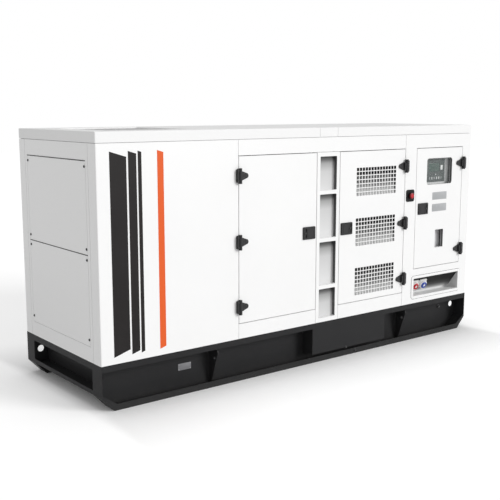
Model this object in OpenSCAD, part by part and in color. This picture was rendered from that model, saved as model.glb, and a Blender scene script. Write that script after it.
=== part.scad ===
// Diesel generating set in a sound-proof canopy on a channel skid.
// Millimetres. +X runs along the set to the control end, -Y is the front, +Z is up.

/* [Overall] */
// Length over the skid
length = 3500; // [3300:10:3800]
// Width over the canopy sides
width = 1100; // [1000:10:1200]
// Height from the floor to the roof
height = 1730; // [1700:10:1850]
// Height of the skid
skid_h = 300; // [280:5:330]
// Depth of the roof tray
roof_h = 70; // [55:1:90]

/* [Skid] */
// Depth of the side rail channel, from its lips to its web
rail_depth = 112; // [100:1:125]
// Plate thickness of the skid
rail_t = 6; // [4:0.5:9]
// Height of the rail lips
lip_h = 42; // [34:1:50]
// Inset of the sloped lower corner at each end
end_inset = 87; // [60:1:110]
// Rise of the sloped lower corner at each end
end_rise = 93; // [75:1:105]
// Depth of the channel in the end beams
beam_recess = 100; // [85:1:115]
// Height of the top lip of the end beams
beam_lip_top = 44; // [40:1:60]
// Height of the turned-up bottom lip of the end beams
beam_lip_low = 28; // [20:1:36]
// Diameter of the lifting holes in the rail webs
lift_d = 48; // [45:1:62]
// Distance of a lifting hole from the end of the rail
lift_in = 48; // [40:1:56]
// Distance of the lifting holes below the top of the skid
lift_drop = 109; // [95:1:125]
// Distance of the left gusset from the left end
gusset_left = 890; // [760:10:980]
// Distance of the right gusset from the right end
gusset_right = 738; // [640:10:820]
// Thickness of the gussets
gusset_t = 12; // [8:1:16]
// Width of a gusset at its foot
gusset_foot = 28; // [20:1:40]
// Radius of the outer corner of a gusset
gusset_r = 34; // [20:1:45]
// Clearance of a gusset behind the rail lips
gusset_clear = 1; // [0.5:0.5:3]
// Diameter of the tie-down eye in a gusset
gusset_eye_d = 24; // [18:1:30]
// Distance of the eye from the outer edge of its gusset
gusset_eye_in = 36; // [32:1:44]
// Distance of the eye below the top of the skid
gusset_eye_drop = 115; // [100:1:125]
// Gap between the centre box and the right gusset
box_gap = 252; // [180:1:320]
// Length of the centre box on the rails
box_len = 765; // [650:5:800]
// Height of the centre box's bottom above the lower lip
box_low = 20; // [10:1:30]
// Setback of the centre box behind the rail lips
box_set = 3; // [1:0.5:5]
// Thickness of the floor plate
floor_t = 10; // [6:1:14]
// Distance of the tank from the left end beam
tank_left = 330; // [250:10:420]
// Distance of the tank from the right end beam
tank_right = 290; // [220:10:380]
// Height of the tank's bottom above the ground
tank_z = 60; // [50:5:90]

/* [Canopy walls] */
// Thickness of the lined walls and doors
wall_t = 40; // [34:1:50]
// Width of the seams between fixed panels
seam = 3; // [2:0.5:5]
// Depth of those seams
seam_d = 12; // [6:1:18]
// Width of the corner return on the canopy ends
corner_ret = 95; // [80:1:120]
// Radius of the vertical canopy corners
corner_r = 8; // [4:1:14]
// Width of the control section at the right end
ctl_w = 799; // [760:1:840]
// Width of the ladder post
post_w = 224; // [205:1:250]
// Width of a side door
door_w = 699; // [640:1:720]
// Gap around the doors
door_gap = 5; // [5:0.5:7]
// Height of the header over the doors
header_h = 105; // [90:1:130]
// Height of the sill under the doors
sill_h = 104; // [85:1:130]
// Width of the folded rim inside a door
door_rim = 30; // [22:1:38]
// Depth of the lining recess inside a door
lining_d = 14; // [8:1:18]

/* [Ladder] */
// Width of the step pockets
pocket_w = 163; // [140:1:180]
// Depth of the step pockets
pocket_d = 28; // [20:1:30]
// Corner radius of the step pockets
pocket_r = 6; // [3:1:12]
// Height of a rung
rung_h = 28; // [20:1:40]
// Height of the first rung over the skid
rung_z = 263; // [240:1:290]
// Distance between the rungs
rung_pitch = 350; // [320:1:360]
// Height of the lowest pocket over the skid
ladder_foot = 31; // [24:1:45]
// Distance of the top pocket from the roof tray
ladder_head = 137; // [120:1:170]

/* [Intake grilles] */
// Pitch of the square holes
grille_pitch = 31; // [29:0.5:32]
// Width of a square hole
grille_hole = 24.5; // [18:0.5:26]
// Holes along a grille
grille_cols = 14; // [10:1:15]
// Holes up a grille
grille_rows = 7; // [5:1:8]
// Distance of the top grille from the top of the door
grille_top = 120; // [90:1:140]
// Distance of the bottom grille from the bottom of the door
grille_low = 44; // [40:1:70]
// Shift of the grilles towards the hinges
grille_shift = 34; // [20:1:45]
// Thickness of the perforated sheet
grille_t = 3; // [2:0.5:4]
// Air gap between the sheet and the foot of its baffle
baffle_gap = 6; // [3:0.5:9]
// Thickness of a baffle at its head
baffle_t = 6; // [4:0.5:8]
// Height of the slot over a baffle
baffle_slot = 60; // [40:1:75]
// Width of the box rim around a baffle
baffle_rim = 12; // [8:1:16]

/* [Control section] */
// Width of the panel left of the control door
ctl_jamb = 129; // [118:1:140]
// Width of the panel right of the control door
ctl_end = 102; // [95:1:120]
// Height of the panel under the control door
ctl_low = 281; // [260:1:310]
// Width of the viewing window
view_w = 309; // [280:1:330]
// Height of the viewing window
view_h = 213; // [190:1:230]
// Corner radius of the viewing window
view_r = 22; // [10:1:40]
// Distance of the viewing window from the top of the control door
view_top = 81; // [60:1:110]
// Shift of the viewing window from the middle of the control door
view_shift = -2; // [-20:1:20]
// Lap of the pane behind the window opening
view_lap = 12; // [8:1:18]
// Thickness of the pane
pane_t = 5; // [3:0.5:6]
// Width of the breaker cut-out
cut_w = 102; // [80:1:130]
// Height of the breaker cut-out
cut_h = 148; // [120:1:170]
// Height of the breaker cut-out above the bottom of the control door
cut_z = 149; // [120:1:200]
// Shift of the breaker cut-out from the middle of the control door
cut_shift = 17; // [0:1:40]
// Corner radius of the breaker cut-out
cut_r = 6; // [3:1:12]
// Lap of the breaker behind its cut-out
breaker_lap = 20; // [15:1:30]
// Clearance between the shut control door and the breaker
breaker_clear = 5; // [5:0.5:10]
// Depth of the control cabinet behind the wall
cabinet_d = 170; // [150:5:220]
// Thickness of the cabinet sheet
cabinet_t = 5; // [3:0.5:6]
// Distance of the instrument panel behind the wall
panel_in = 12; // [10:1:20]
// Thickness of the instrument panel
panel_t = 4; // [3:0.5:6]
// Width of the controller
ctrl_w = 236; // [200:1:250]
// Height of the controller
ctrl_h = 186; // [160:1:190]
// Projection of the controller from the instrument panel
ctrl_t = 6; // [4:0.5:7]
// Shift of the controller from the middle of the window
ctrl_dx = -1; // [-10:1:10]
// Lift of the controller from the middle of the window
ctrl_dz = 2; // [-5:1:10]
// Shift of the display recess from the middle of the window
display_dx = -11; // [-20:1:10]
// Lift of the display recess from the middle of the window
display_dz = 28; // [20:1:35]
// Depth of the display recess
display_in = 3; // [2:0.5:4]
// Width of the controller's display recess
display_w = 128; // [100:1:140]
// Height of the controller's display recess
display_h = 72; // [60:1:80]
// Height of the socket recess
socket_h = 144; // [130:1:170]
// Depth of the socket recess
socket_d = 100; // [90:1:130]
// Height of the socket recess above the skid
socket_z = 58; // [34:1:70]
// Sheet thickness of the socket recess
rec_t = 3; // [2:0.5:4]
// Width of the flange around the socket recess
flange_w = 18; // [10:1:24]
// Thickness of that flange on the wall
flange_t = 2; // [1.5:0.5:3]
// Height of the step under the sloping back of the recess
slope_foot = 12; // [6:1:18]
// Depth of the recess under its top edge
slope_head = 6; // [4:1:10]
// Distance of the first socket from the left side of the recess
socket_in = 54; // [46:1:140]
// Distance of the sockets from the head of the sloping back
socket_drop = 72; // [60:1:105]
// Angle by which a socket's body leans up from square to the sloping back
socket_tilt = 12; // [5:1:20]
// Distance between the sockets
socket_pitch = 98; // [92:1:110]
// Side of a socket's base plate
base_w = 88; // [80:1:90]
// Thickness of a socket's base plate
base_t = 8; // [6:1:10]
// Diameter of a socket's body
body_d = 76; // [70:1:78]
// Length of a socket's body
body_l = 30; // [24:1:34]
// Diameter of a socket's lid
lid_d = 54; // [48:1:66]
// Height of a socket's lid
lid_h = 12; // [8:1:14]
// Width of the emergency stop plate
stop_w = 89; // [80:1:110]
// Height of the emergency stop plate
stop_h = 94; // [80:1:110]
// Thickness of the emergency stop plate
stop_t = 6; // [4:0.5:8]
// Drop of the emergency stop below the middle of the upper two hinges
stop_drop = 13; // [0:1:40]
// Shift of the emergency stop from the middle of its panel
stop_shift = -3; // [-9:0.5:5]
// Diameter of the collar round the stop button
collar_d = 46; // [40:1:60]
// Height of that collar
collar_h = 10; // [9:0.5:12]
// Radius of the stop button's stem
stem_r = 11; // [8:0.5:14]
// Running clearance of that stem
stem_clear = 0.1; // [0.05:0.01:0.1]
// Radius of the stop button's head
button_r = 24; // [18:0.5:28]
// Height of the stop button's head
button_h = 10; // [8:0.5:14]
// Travel of the stop button
button_travel = 6; // [4:0.5:6]

/* [Hinges and latches] */
// Height of a hinge
hinge_h = 103; // [90:1:120]
// Distance of the hinge axis from the wall
hinge_out = 18; // [17:0.5:22]
// Radius of the hinge barrel
barrel_r = 12; // [10:0.5:12]
// Radius of the hinge pin
pin_r = 5; // [4:0.1:6]
// Running clearance of the hinge pin
pin_clear = 0.1; // [0.05:0.01:0.1]
// Distance of the top hinge from the top of its door
hinge_top = 130; // [100:1:160]
// Distance of the bottom hinge from the bottom of its door
hinge_low = 115; // [90:1:150]
// Reach of the hinge leaf over the door
leaf_w = 58; // [50:1:70]
// Thickness of the hinge leaf
leaf_t = 8; // [6:0.5:10]
// Height of the hinge leaf at its root
leaf_h = 68; // [60:1:80]
// Radius of the rounded end of the hinge leaf
leaf_r = 18; // [12:0.5:22]
// Reach of the hinge arms on both sides of the pin
arm_w = 24; // [22:0.5:28]
// Height lost at the outer side of the fixed hinge half
bar_taper = 9; // [4:0.5:14]
// Height by which the barrel stands past the fixed hinge half
bar_short = 1.5; // [1:0.5:4]
// Space beside the hinge barrel for the turning knuckle
knuckle_side = 1.5; // [1:0.1:3]
// Depth of the hinge arms in front of the pin
arm_d = 4; // [3:0.5:6]
// Axial play between the knuckles
knuckle_gap = 0.5; // [0.3:0.1:1]
// Width of a latch
latch_w = 116; // [100:1:125]
// Height of a latch
latch_h = 91; // [80:1:100]
// Thickness of a latch
latch_t = 9; // [7:0.5:12]
// Distance of the service door latches from the post side of their door
latch_in = 12; // [8:1:24]
// Distance of the control door latch from the free side of its door
latch_ctl_in = 26; // [16:1:40]
// Width of the finger slot in a latch
slot_w = 22; // [16:1:26]
// Height of the finger slot in a latch
slot_h = 66; // [50:1:70]
// Depth of the finger slot in a latch
slot_d = 6; // [4:0.5:7]
// Diameter of the lock barrel in the finger slot
lock_d = 16; // [12:0.5:20]

/* [Roof and end covers] */
// Width of the roof strap
strap_w = 172; // [140:1:200]
// Radius of the roof edges
roof_r = 8; // [4:1:12]
// Length of the air outlet in the roof
outlet_len = 620; // [500:10:680]
// Width of the air outlet in the roof
outlet_w = 680; // [560:10:760]
// Distance of the air outlet from the left end
outlet_in = 190; // [150:5:240]
// Width of the outlet frame
outlet_frame = 20; // [14:1:28]
// Height of the outlet frame
outlet_h = 26; // [20:1:32]
// Setback of the outlet frame below the roof
outlet_set = 4; // [2:0.5:8]
// Thickness of the outlet bars
outlet_bar = 6; // [4:0.5:8]
// Spacing of the outlet bars
outlet_step = 36; // [30:1:48]
// Thickness of the bolted end covers
cover_t = 5; // [3:0.5:8]
// Margin of the end covers inside the corner returns
cover_margin = 35; // [25:1:60]
// Distance of the lower end cover from the skid
cover_low = 100; // [80:1:130]

/* [Machinery] */
// Height of the crankshaft over the skid
shaft_h = 460; // [430:5:490]
// Distance of the radiator from the left end
rad_in = 589; // [540:1:640]
// Length of the alternator
alt_len = 560; // [520:5:600]
// Radius of the alternator frame
alt_r = 240; // [225:1:250]
// Height of the alternator's terminal box
term_h = 190; // [160:5:220]
// Width of the alternator's terminal box
term_w = 360; // [300:5:400]
// Length of the alternator's slotted end shield
shield_l = 100; // [80:5:120]
// Height of the ribs on the alternator frame
rib_h = 20; // [12:1:26]
// Thickness of the ribs on the alternator frame
rib_t = 10; // [6:1:14]
// Length of the flywheel housing
bell_len = 131; // [110:1:150]
// Radius of the flywheel housing
bell_r = 270; // [260:1:285]
// Cylinders of the engine
cylinders = 6; // [4:1:6]
// Distance between the cylinders
bore_pitch = 155; // [145:1:158]
// Width of the crankcase
block_w = 380; // [350:5:400]
// Height of the block over the crankshaft
deck_h = 200; // [180:5:230]
// Depth of the crankcase below the crankshaft
skirt_h = 170; // [150:5:180]
// Depth of the oil sump
sump_h = 150; // [120:5:170]
// Width of the cylinder heads
head_w = 300; // [270:5:320]
// Height of the cylinder heads
cyl_head_h = 120; // [100:5:140]
// Radius of the exhaust manifold
manifold_r = 46; // [38:1:54]
// Radius of the cooling fan
fan_r = 320; // [290:5:330]
// Blades of the cooling fan
fan_blades = 8; // [6:1:10]
// Height of the fan over the crankshaft
fan_rise = 60; // [40:5:100]
// Room for the fan between the block and the radiator
fan_room = 210; // [190:5:240]
// Tip clearance of the fan in its shroud
fan_clear = 14; // [10:1:20]
// Thickness of the radiator
rad_t = 130; // [100:5:150]
// Width of the radiator
rad_w = 800; // [760:10:840]
// Height of the radiator
rad_h = 960; // [900:10:1000]
// Distance of the mounts outside the crankcase
foot_out = 80; // [70:1:100]
// Distance of the front mounts from the front of the block
foot_in = 120; // [90:5:160]
// Inward lean of the foot brackets
foot_lean = 70; // [50:1:90]
// Plate thickness of the foot brackets
foot_t = 14; // [10:1:20]
// Radius of the rubber mounts
mount_r = 48; // [40:1:55]
// Height of the rubber mounts
mount_h = 60; // [50:1:75]

/* [Hidden] */
$fn = 48;
eps = 0.5;
hl = length / 2;
hw = width / 2;
fy = -hw;
iy = fy + wall_t;
zs = skid_h;
zr = height - roof_h;
right_seam = hl - ctl_w;
post_r = right_seam - 2 * door_gap - door_w;
post_l = post_r - post_w;
post_x = (post_l + post_r) / 2;
left_seam = post_l - 2 * door_gap - door_w;
head_z = zr - header_h;
sill_z = zs + sill_h;
door_z0 = sill_z + door_gap;
door_z1 = head_z - door_gap;
door1_x0 = left_seam + door_gap;
door1_x1 = post_l - door_gap;
door2_x0 = post_r + door_gap;
door2_x1 = right_seam - door_gap;
ctl_x0 = right_seam + ctl_jamb;
ctl_x1 = hl - ctl_end;
ctl_z0 = zs + ctl_low;
cdoor_x0 = ctl_x0 + door_gap;
cdoor_x1 = ctl_x1 - door_gap;
cdoor_z0 = ctl_z0 + door_gap;
web_y = hw - rail_depth;
beam_x = hl - beam_recess;
grille_w = grille_cols * grille_pitch;
grille_hh = grille_rows * grille_pitch;
grille_cx = (door2_x0 + door2_x1) / 2 + grille_shift;
grille_step = (door_z1 - door_z0 - grille_top - grille_low - grille_hh) / 2;
grille_z0 = door_z0 + grille_low;
view_cx = (cdoor_x0 + cdoor_x1) / 2 + view_shift;
view_cz = door_z1 - view_top - view_h / 2;
cut_cx = (cdoor_x0 + cdoor_x1) / 2 + cut_shift;
cut_cz = cdoor_z0 + cut_z + cut_h / 2;
rec_x0 = cdoor_x0 - rec_t;
rec_x1 = cdoor_x1 + rec_t;
rec_z0 = zs + socket_z;
rec_z1 = rec_z0 + socket_h;
red_x = rec_x0 + socket_in;
blue_x = red_x + socket_pitch;
hinge_zs = [door_z0 + hinge_low, (door_z0 + hinge_low + door_z1 - hinge_top) / 2, door_z1 - hinge_top];
ctl_hinge_zs = [cdoor_z0 + hinge_low, door_z1 - hinge_top];
stop_x = right_seam + ctl_jamb / 2 + stop_shift;
stop_cz = (hinge_zs[1] + hinge_zs[2]) / 2 - stop_drop;
axis_y = fy - hinge_out;
cover_w = 2 * (hw - corner_ret - cover_margin);
cover_z1 = head_z;
cover_z0 = zs + cover_low;
cover_zm = (cover_z0 + cover_z1) / 2;
strap_l = post_x - strap_w / 2;
out_x0 = -hl + outlet_in;
panel_y = iy + panel_in;
gusset_x = [-hl + gusset_left, hl - gusset_right];
box_x1 = gusset_x[1] - box_gap;
shaft_z = zs + shaft_h;
rad_x1 = -hl + rad_in + rad_t;
block_x0 = rad_x1 + fan_room;
block_x1 = block_x0 + cylinders * bore_pitch;
alt_x0 = block_x1 + bell_len;
fan_z = shaft_z + fan_rise;

// Node to draw

white = [0.93, 0.93, 0.93];
charcoal = [0.16, 0.16, 0.17];
black = [0.12, 0.12, 0.13];
grey = [0.66, 0.67, 0.68];

// Shared shapes

module rounded_rect(w, h, r) {
  square([w - 2 * r, h], center = true);
  square([w, h - 2 * r], center = true);
  for (sx = [-1, 1]) {
    for (sz = [-1, 1]) {
      translate([sx * (w / 2 - r), sz * (h / 2 - r)])
        circle(r);
    }
  }
}

// A drawing in X and Z, carried back from the plane y for a depth d
module upright(y, d) {
  translate([0, y + d, 0])
    rotate([90, 0, 0])
      linear_extrude(d)
        children();
}

// A drawing in Y and Z, carried along X from x for a length l
module along(x, l) {
  translate([x, 0, 0])
    rotate([90, 0, 90])
      linear_extrude(l)
        children();
}

// A slab of the front wall
module wall(x0, x1, z0, z1, t = wall_t) {
  translate([x0, fy, z0])
    cube([x1 - x0, t, z1 - z0]);
}

// The groove that half a seam leaves along an upright edge of the front wall
module seam_v(x, z0, z1) {
  translate([x - seam / 2, fy - eps, z0 - eps])
    cube([seam, seam_d + eps, z1 - z0 + 2 * eps]);
}

// The same along a level edge
module seam_h(z, x0, x1) {
  translate([x0 - eps, fy - eps, z - seam / 2])
    cube([x1 - x0 + 2 * eps, seam_d + eps, seam]);
}

// Front corner panel in plan: a wall that turns the left corner
module corner_plan(x_in) {
  difference() {
    union() {
      translate([-hl, fy])
        square([x_in + hl, wall_t]);
      translate([-hl, fy])
        square([wall_t, corner_ret]);
    }
    translate([-hl - eps, fy - eps])
      square(corner_r + eps);
  }
  translate([-hl + corner_r, fy + corner_r])
    circle(corner_r);
}

module corner_panel(x_in, z0, z1) {
  difference() {
    translate([0, 0, z0])
      linear_extrude(z1 - z0)
        corner_plan(x_in);
    translate([-hl - eps, fy + corner_ret - seam / 2, z0 - eps])
      cube([seam_d + eps, seam, z1 - z0 + 2 * eps]);
  }
}

// Skid

module rail_outline(inset) {
  slope_k = tan(atan(end_rise / end_inset) / 2);
  polygon([
    [-hl + inset, zs - inset],
    [hl - inset, zs - inset],
    [hl - inset, end_rise + inset * slope_k],
    [hl - end_inset - inset * slope_k, inset],
    [-hl + end_inset + inset * slope_k, inset],
    [-hl + inset, end_rise + inset * slope_k]
  ]);
}

module lip_outline() {
  slope_k = tan(atan(end_rise / end_inset) / 2);
  polygon([
    [-hl + rail_t, zs - lip_h],
    [hl - rail_t, zs - lip_h],
    [hl - rail_t, end_rise + lip_h * slope_k],
    [hl - end_inset - lip_h * slope_k, lip_h],
    [-hl + end_inset + lip_h * slope_k, lip_h],
    [-hl + rail_t, end_rise + lip_h * slope_k]
  ]);
}

module rail() {
  difference() {
    upright(-hw, rail_depth + rail_t)
      rail_outline(0);
    upright(-hw + rail_t, rail_depth - rail_t)
      rail_outline(rail_t);
    upright(-hw - eps, rail_t + 2 * eps)
      lip_outline();
    for (sx = [-1, 1]) {
      translate([sx * (hl - lift_in), -web_y - eps, zs - lift_drop])
        rotate([-90, 0, 0])
          cylinder(h = rail_t + 2 * eps, d = lift_d);
    }
  }
}

module front_rail() {
  color(charcoal)
    rail();
}

module rear_rail() {
  color(charcoal)
    mirror([0, 1, 0])
      rail();
}

module end_beam() {
  span = 2 * (web_y - rail_t);
  translate([0, span / 2, 0])
    rotate([90, 0, 0])
      linear_extrude(span)
        difference() {
          translate([beam_x - rail_t, end_rise])
            square([beam_recess + rail_t, zs - end_rise]);
          translate([beam_x, end_rise + rail_t])
            square([beam_recess - rail_t, zs - end_rise - 2 * rail_t]);
          translate([beam_x, end_rise + beam_lip_low])
            square([beam_recess + eps, zs - end_rise - beam_lip_low - beam_lip_top]);
        }
}

module end_beams() {
  color(charcoal)
    for (sx = [0, 1]) {
      mirror([sx, 0, 0])
        end_beam();
    }
}

// Tie-down rib: upright plate that leans back to its foot, with a round outer corner
module gusset() {
  d = rail_depth - rail_t - gusset_clear;
  corner_z = zs - lip_h - gusset_r;
  along(-gusset_t / 2, gusset_t)
    difference() {
      union() {
        polygon([
          [0, rail_t],
          [gusset_foot, rail_t],
          [d, corner_z],
          [d - gusset_r, zs - lip_h],
          [d - gusset_r, zs - rail_t],
          [0, zs - rail_t]
        ]);
        translate([d - gusset_r, corner_z])
          circle(gusset_r);
      }
      translate([d - gusset_eye_in, zs - gusset_eye_drop])
        circle(d = gusset_eye_d);
    }
}

module rail_gussets() {
  color(charcoal)
    for (sy = [0, 1]) {
      mirror([0, sy, 0])
        for (x = gusset_x) {
          translate([x, -web_y, 0])
            mirror([0, 1, 0])
              gusset();
        }
    }
}

module rail_centre_boxes() {
  color(charcoal)
    for (sy = [0, 1]) {
      mirror([0, sy, 0])
        translate([box_x1 - box_len, -hw + box_set, lip_h + box_low])
          cube([box_len, rail_depth - box_set, zs - 2 * lip_h - box_low]);
    }
}

// Floor plate between the rails, with the fuel tank hung under it
module base_tank() {
  half_w = web_y - rail_t;
  half_l = beam_x - rail_t;
  color(charcoal) {
    translate([-half_l, -half_w, zs - floor_t])
      cube([2 * half_l, 2 * half_w, floor_t]);
    translate([-half_l + tank_left, -half_w, tank_z])
      cube([2 * half_l - tank_left - tank_right, 2 * half_w, zs - floor_t - tank_z + eps]);
  }
}

// Canopy walls

module front_left_panel() {
  color(white)
    difference() {
      corner_panel(left_seam, zs, zr);
      seam_v(left_seam, zs, zr);
    }
}

module rear_left_panel() {
  color(white)
    mirror([0, 1, 0])
      front_left_panel();
}

module end_wall() {
  hy = hw - corner_ret;
  difference() {
    translate([-hl, -hy, zs])
      cube([wall_t, 2 * hy, zr - zs]);
    for (sy = [-1, 1]) {
      translate([-hl - eps, sy * hy - seam / 2, zs - eps])
        cube([seam_d + eps, seam, zr - zs + 2 * eps]);
    }
    translate([-hl - eps, -cover_w / 2 - seam, cover_z0 - seam])
      cube([cover_t + eps, cover_w + 2 * seam, cover_z1 - cover_z0 + 2 * seam]);
  }
}

module end_walls() {
  color(white)
    for (sx = [0, 1]) {
      mirror([sx, 0, 0])
        end_wall();
    }
}

module end_covers() {
  color(white)
    for (sx = [0, 1]) {
      mirror([sx, 0, 0]) {
        translate([-hl, -cover_w / 2, cover_z0])
          cube([cover_t, cover_w, cover_zm - cover_z0 - seam / 2]);
        translate([-hl, -cover_w / 2, cover_zm + seam / 2])
          cube([cover_t, cover_w, cover_z1 - cover_zm - seam / 2]);
      }
    }
}

module door_header() {
  difference() {
    wall(left_seam, right_seam, head_z, zr);
    seam_v(left_seam, head_z, zr);
    seam_v(right_seam, head_z, zr);
    seam_h(head_z, post_l, post_r);
  }
}

module door_headers() {
  color(white)
    for (sy = [0, 1]) {
      mirror([0, sy, 0])
        door_header();
    }
}

module door_sill(x0, x1) {
  difference() {
    wall(x0, x1, zs, sill_z);
    seam_v(x0, zs, sill_z);
    seam_v(x1, zs, sill_z);
  }
}

module door_sills() {
  color(white)
    for (sy = [0, 1]) {
      mirror([0, sy, 0]) {
        door_sill(left_seam, post_l);
        door_sill(post_r, right_seam);
      }
    }
}

module post() {
  difference() {
    wall(post_l, post_r, zs, head_z);
    seam_v(post_l, zs, head_z);
    seam_v(post_r, zs, head_z);
    seam_h(head_z, post_l, post_r);
  }
}

// Step pockets, from the foot to the head of the ladder
module front_ladder_post() {
  rungs = [for (i = [0:2]) zs + rung_z + i * rung_pitch];
  lows = concat([zs + ladder_foot], [for (z = rungs) z + rung_h / 2]);
  highs = concat([for (z = rungs) z - rung_h / 2], [zr - ladder_head]);
  color(white)
    difference() {
      post();
      for (i = [0:3]) {
        upright(fy - eps, pocket_d + eps)
          translate([post_x, (lows[i] + highs[i]) / 2])
            rounded_rect(pocket_w, highs[i] - lows[i], pocket_r);
      }
    }
}

module rear_post() {
  color(white)
    mirror([0, 1, 0])
      post();
}

module control_left_jamb() {
  color(white)
    difference() {
      wall(right_seam, ctl_x0, ctl_z0, zr);
      seam_v(right_seam, ctl_z0, zr);
    }
}

module control_right_jamb() {
  color(white)
    mirror([1, 0, 0])
      corner_panel(-ctl_x1, ctl_z0, zr);
}

module control_header() {
  color(white)
    wall(ctl_x0, ctl_x1, head_z, zr);
}

module control_lower_panel() {
  color(white)
    difference() {
      mirror([1, 0, 0])
        corner_panel(-right_seam, zs, ctl_z0);
      seam_v(right_seam, zs, ctl_z0);
      translate([rec_x0, fy - eps, rec_z0 - rec_t])
        cube([rec_x1 - rec_x0, wall_t + 2 * eps, socket_h + 2 * rec_t]);
    }
}

module rear_right_panel() {
  color(white)
    mirror([0, 1, 0])
      difference() {
        mirror([1, 0, 0])
          corner_panel(-right_seam, zs, zr);
        seam_v(right_seam, zs, zr);
      }
}

// Doors

// The folded rim of a door stands round the recess that holds its lining
module lining_recess(x0, x1, z0, z1) {
  translate([x0 + door_rim, iy - lining_d, z0 + door_rim])
    cube([x1 - x0 - 2 * door_rim, lining_d + eps, z1 - z0 - 2 * door_rim]);
}

module plain_door() {
  difference() {
    wall(door1_x0, door1_x1, door_z0, door_z1);
    lining_recess(door1_x0, door1_x1, door_z0, door_z1);
  }
}

// Behind each grille a sloping baffle lets air in at the top and sheds rain at the bottom
module grille_pocket(z0) {
  z1 = z0 + grille_hh;
  along(grille_cx - grille_w / 2, grille_w)
    polygon([
      [fy - eps, z0],
      [fy + grille_t + baffle_gap, z0],
      [iy - baffle_t, z1 - baffle_slot],
      [iy + eps, z1 - baffle_slot],
      [iy + eps, z1],
      [fy - eps, z1]
    ]);
}

// The box that stays standing round a baffle inside the door
module baffle_box(z0) {
  translate([grille_cx - grille_w / 2 - baffle_rim, fy, z0 - baffle_rim])
    cube([grille_w + 2 * baffle_rim, wall_t + 2 * eps, grille_hh + 2 * baffle_rim]);
}

module grille_door() {
  difference() {
    wall(door2_x0, door2_x1, door_z0, door_z1);
    difference() {
      lining_recess(door2_x0, door2_x1, door_z0, door_z1);
      for (i = [0:2]) {
        baffle_box(grille_z0 + i * grille_step);
      }
    }
    for (i = [0:2]) {
      grille_pocket(grille_z0 + i * grille_step);
    }
  }
}

module grille_sheets() {
  for (i = [0:2]) {
    upright(fy, grille_t)
      translate([grille_cx - grille_w / 2, grille_z0 + i * grille_step])
        difference() {
          square([grille_w, grille_hh]);
          for (c = [0:grille_cols - 1]) {
            for (r = [0:grille_rows - 1]) {
              translate([(c + 0.5) * grille_pitch, (r + 0.5) * grille_pitch])
                square(grille_hole, center = true);
            }
          }
        }
  }
}

module front_left_door() {
  color(white)
    plain_door();
}

module front_right_door() {
  color(white)
    grille_door();
}

module right_door_grilles() {
  color(white)
    grille_sheets();
}

module rear_left_door() {
  color(white)
    mirror([0, 1, 0])
      plain_door();
}

module rear_right_door() {
  color(white)
    mirror([0, 1, 0])
      grille_door();
}

module rear_door_grilles() {
  color(white)
    mirror([0, 1, 0])
      grille_sheets();
}

module control_door() {
  color(white)
    difference() {
      wall(cdoor_x0, cdoor_x1, cdoor_z0, door_z1);
      lining_recess(cdoor_x0, cdoor_x1, cdoor_z0, door_z1);
      upright(fy - eps, wall_t + 2 * eps)
        translate([view_cx, view_cz])
          rounded_rect(view_w, view_h, view_r);
      upright(fy - eps, wall_t + 2 * eps)
        translate([cut_cx, cut_cz])
          rounded_rect(cut_w, cut_h, cut_r);
    }
}

// Pane clamped against the back of the window opening
module control_window() {
  color([0.55, 0.6, 0.62, 0.4])
    upright(iy - lining_d, pane_t)
      translate([view_cx, view_cz])
        rounded_rect(view_w + 2 * view_lap, view_h + 2 * view_lap, view_r);
}

// Hinges, drawn at the axis with the door on the +X side

module hinge_bar() {
  knuckle = hinge_h / 4;
  side = barrel_r + knuckle_side;
  root = hinge_h / 2 - bar_short;
  outer = root - bar_taper;
  difference() {
    union() {
      upright(-arm_d, hinge_out + arm_d)
        polygon([[-arm_w, -outer], [-arm_w, outer], [0, root], [0, -root]]);
      translate([0, 0, -hinge_h / 2])
        cylinder(h = hinge_h, r = barrel_r);
    }
    translate([-side, -hinge_out, -hinge_h / 2 + knuckle])
      cube([2 * side, 2 * hinge_out + eps, hinge_h - 2 * knuckle]);
  }
  translate([0, 0, -hinge_h / 2 + 2])
    cylinder(h = hinge_h - 4, r = pin_r);
}

// Tapered leaf with a round end, lying on the door
module leaf_plate(root) {
  upright(hinge_out - leaf_t, leaf_t) {
    polygon([[root, -leaf_h / 2], [root, leaf_h / 2], [leaf_w + 1, leaf_r], [leaf_w + 1, -leaf_r]]);
    translate([leaf_w, 0])
      circle(leaf_r);
  }
}

module hinge_leaf() {
  mid = hinge_h / 2 - 2 * knuckle_gap;
  difference() {
    union() {
      translate([0, 0, -mid / 2])
        cylinder(h = mid, r = barrel_r);
      translate([0, -arm_d, -mid / 2])
        cube([arm_w, hinge_out + arm_d, mid]);
      leaf_plate(barrel_r + 3);
    }
    translate([0, 0, -hinge_h / 2])
      cylinder(h = hinge_h, r = pin_r + pin_clear);
  }
}

module at_left_door() {
  for (z = hinge_zs) {
    translate([left_seam + door_gap / 2, axis_y, z])
      children();
  }
}

module at_right_door() {
  for (z = hinge_zs) {
    translate([right_seam - door_gap / 2, axis_y, z])
      mirror([1, 0, 0])
        children();
  }
}

module at_control_door() {
  for (z = ctl_hinge_zs) {
    translate([ctl_x1 - door_gap / 2, axis_y, z])
      mirror([1, 0, 0])
        children();
  }
}

module door_hinge_bars() {
  color(black) {
    at_left_door()
      hinge_bar();
    at_right_door()
      hinge_bar();
    at_control_door()
      hinge_bar();
  }
}

module left_door_hinge_leaves() {
  color(black)
    at_left_door()
      hinge_leaf();
}

module right_door_hinge_leaves() {
  color(black)
    at_right_door()
      hinge_leaf();
}

module control_door_hinge_leaves() {
  color(black)
    at_control_door()
      hinge_leaf();
}

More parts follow.
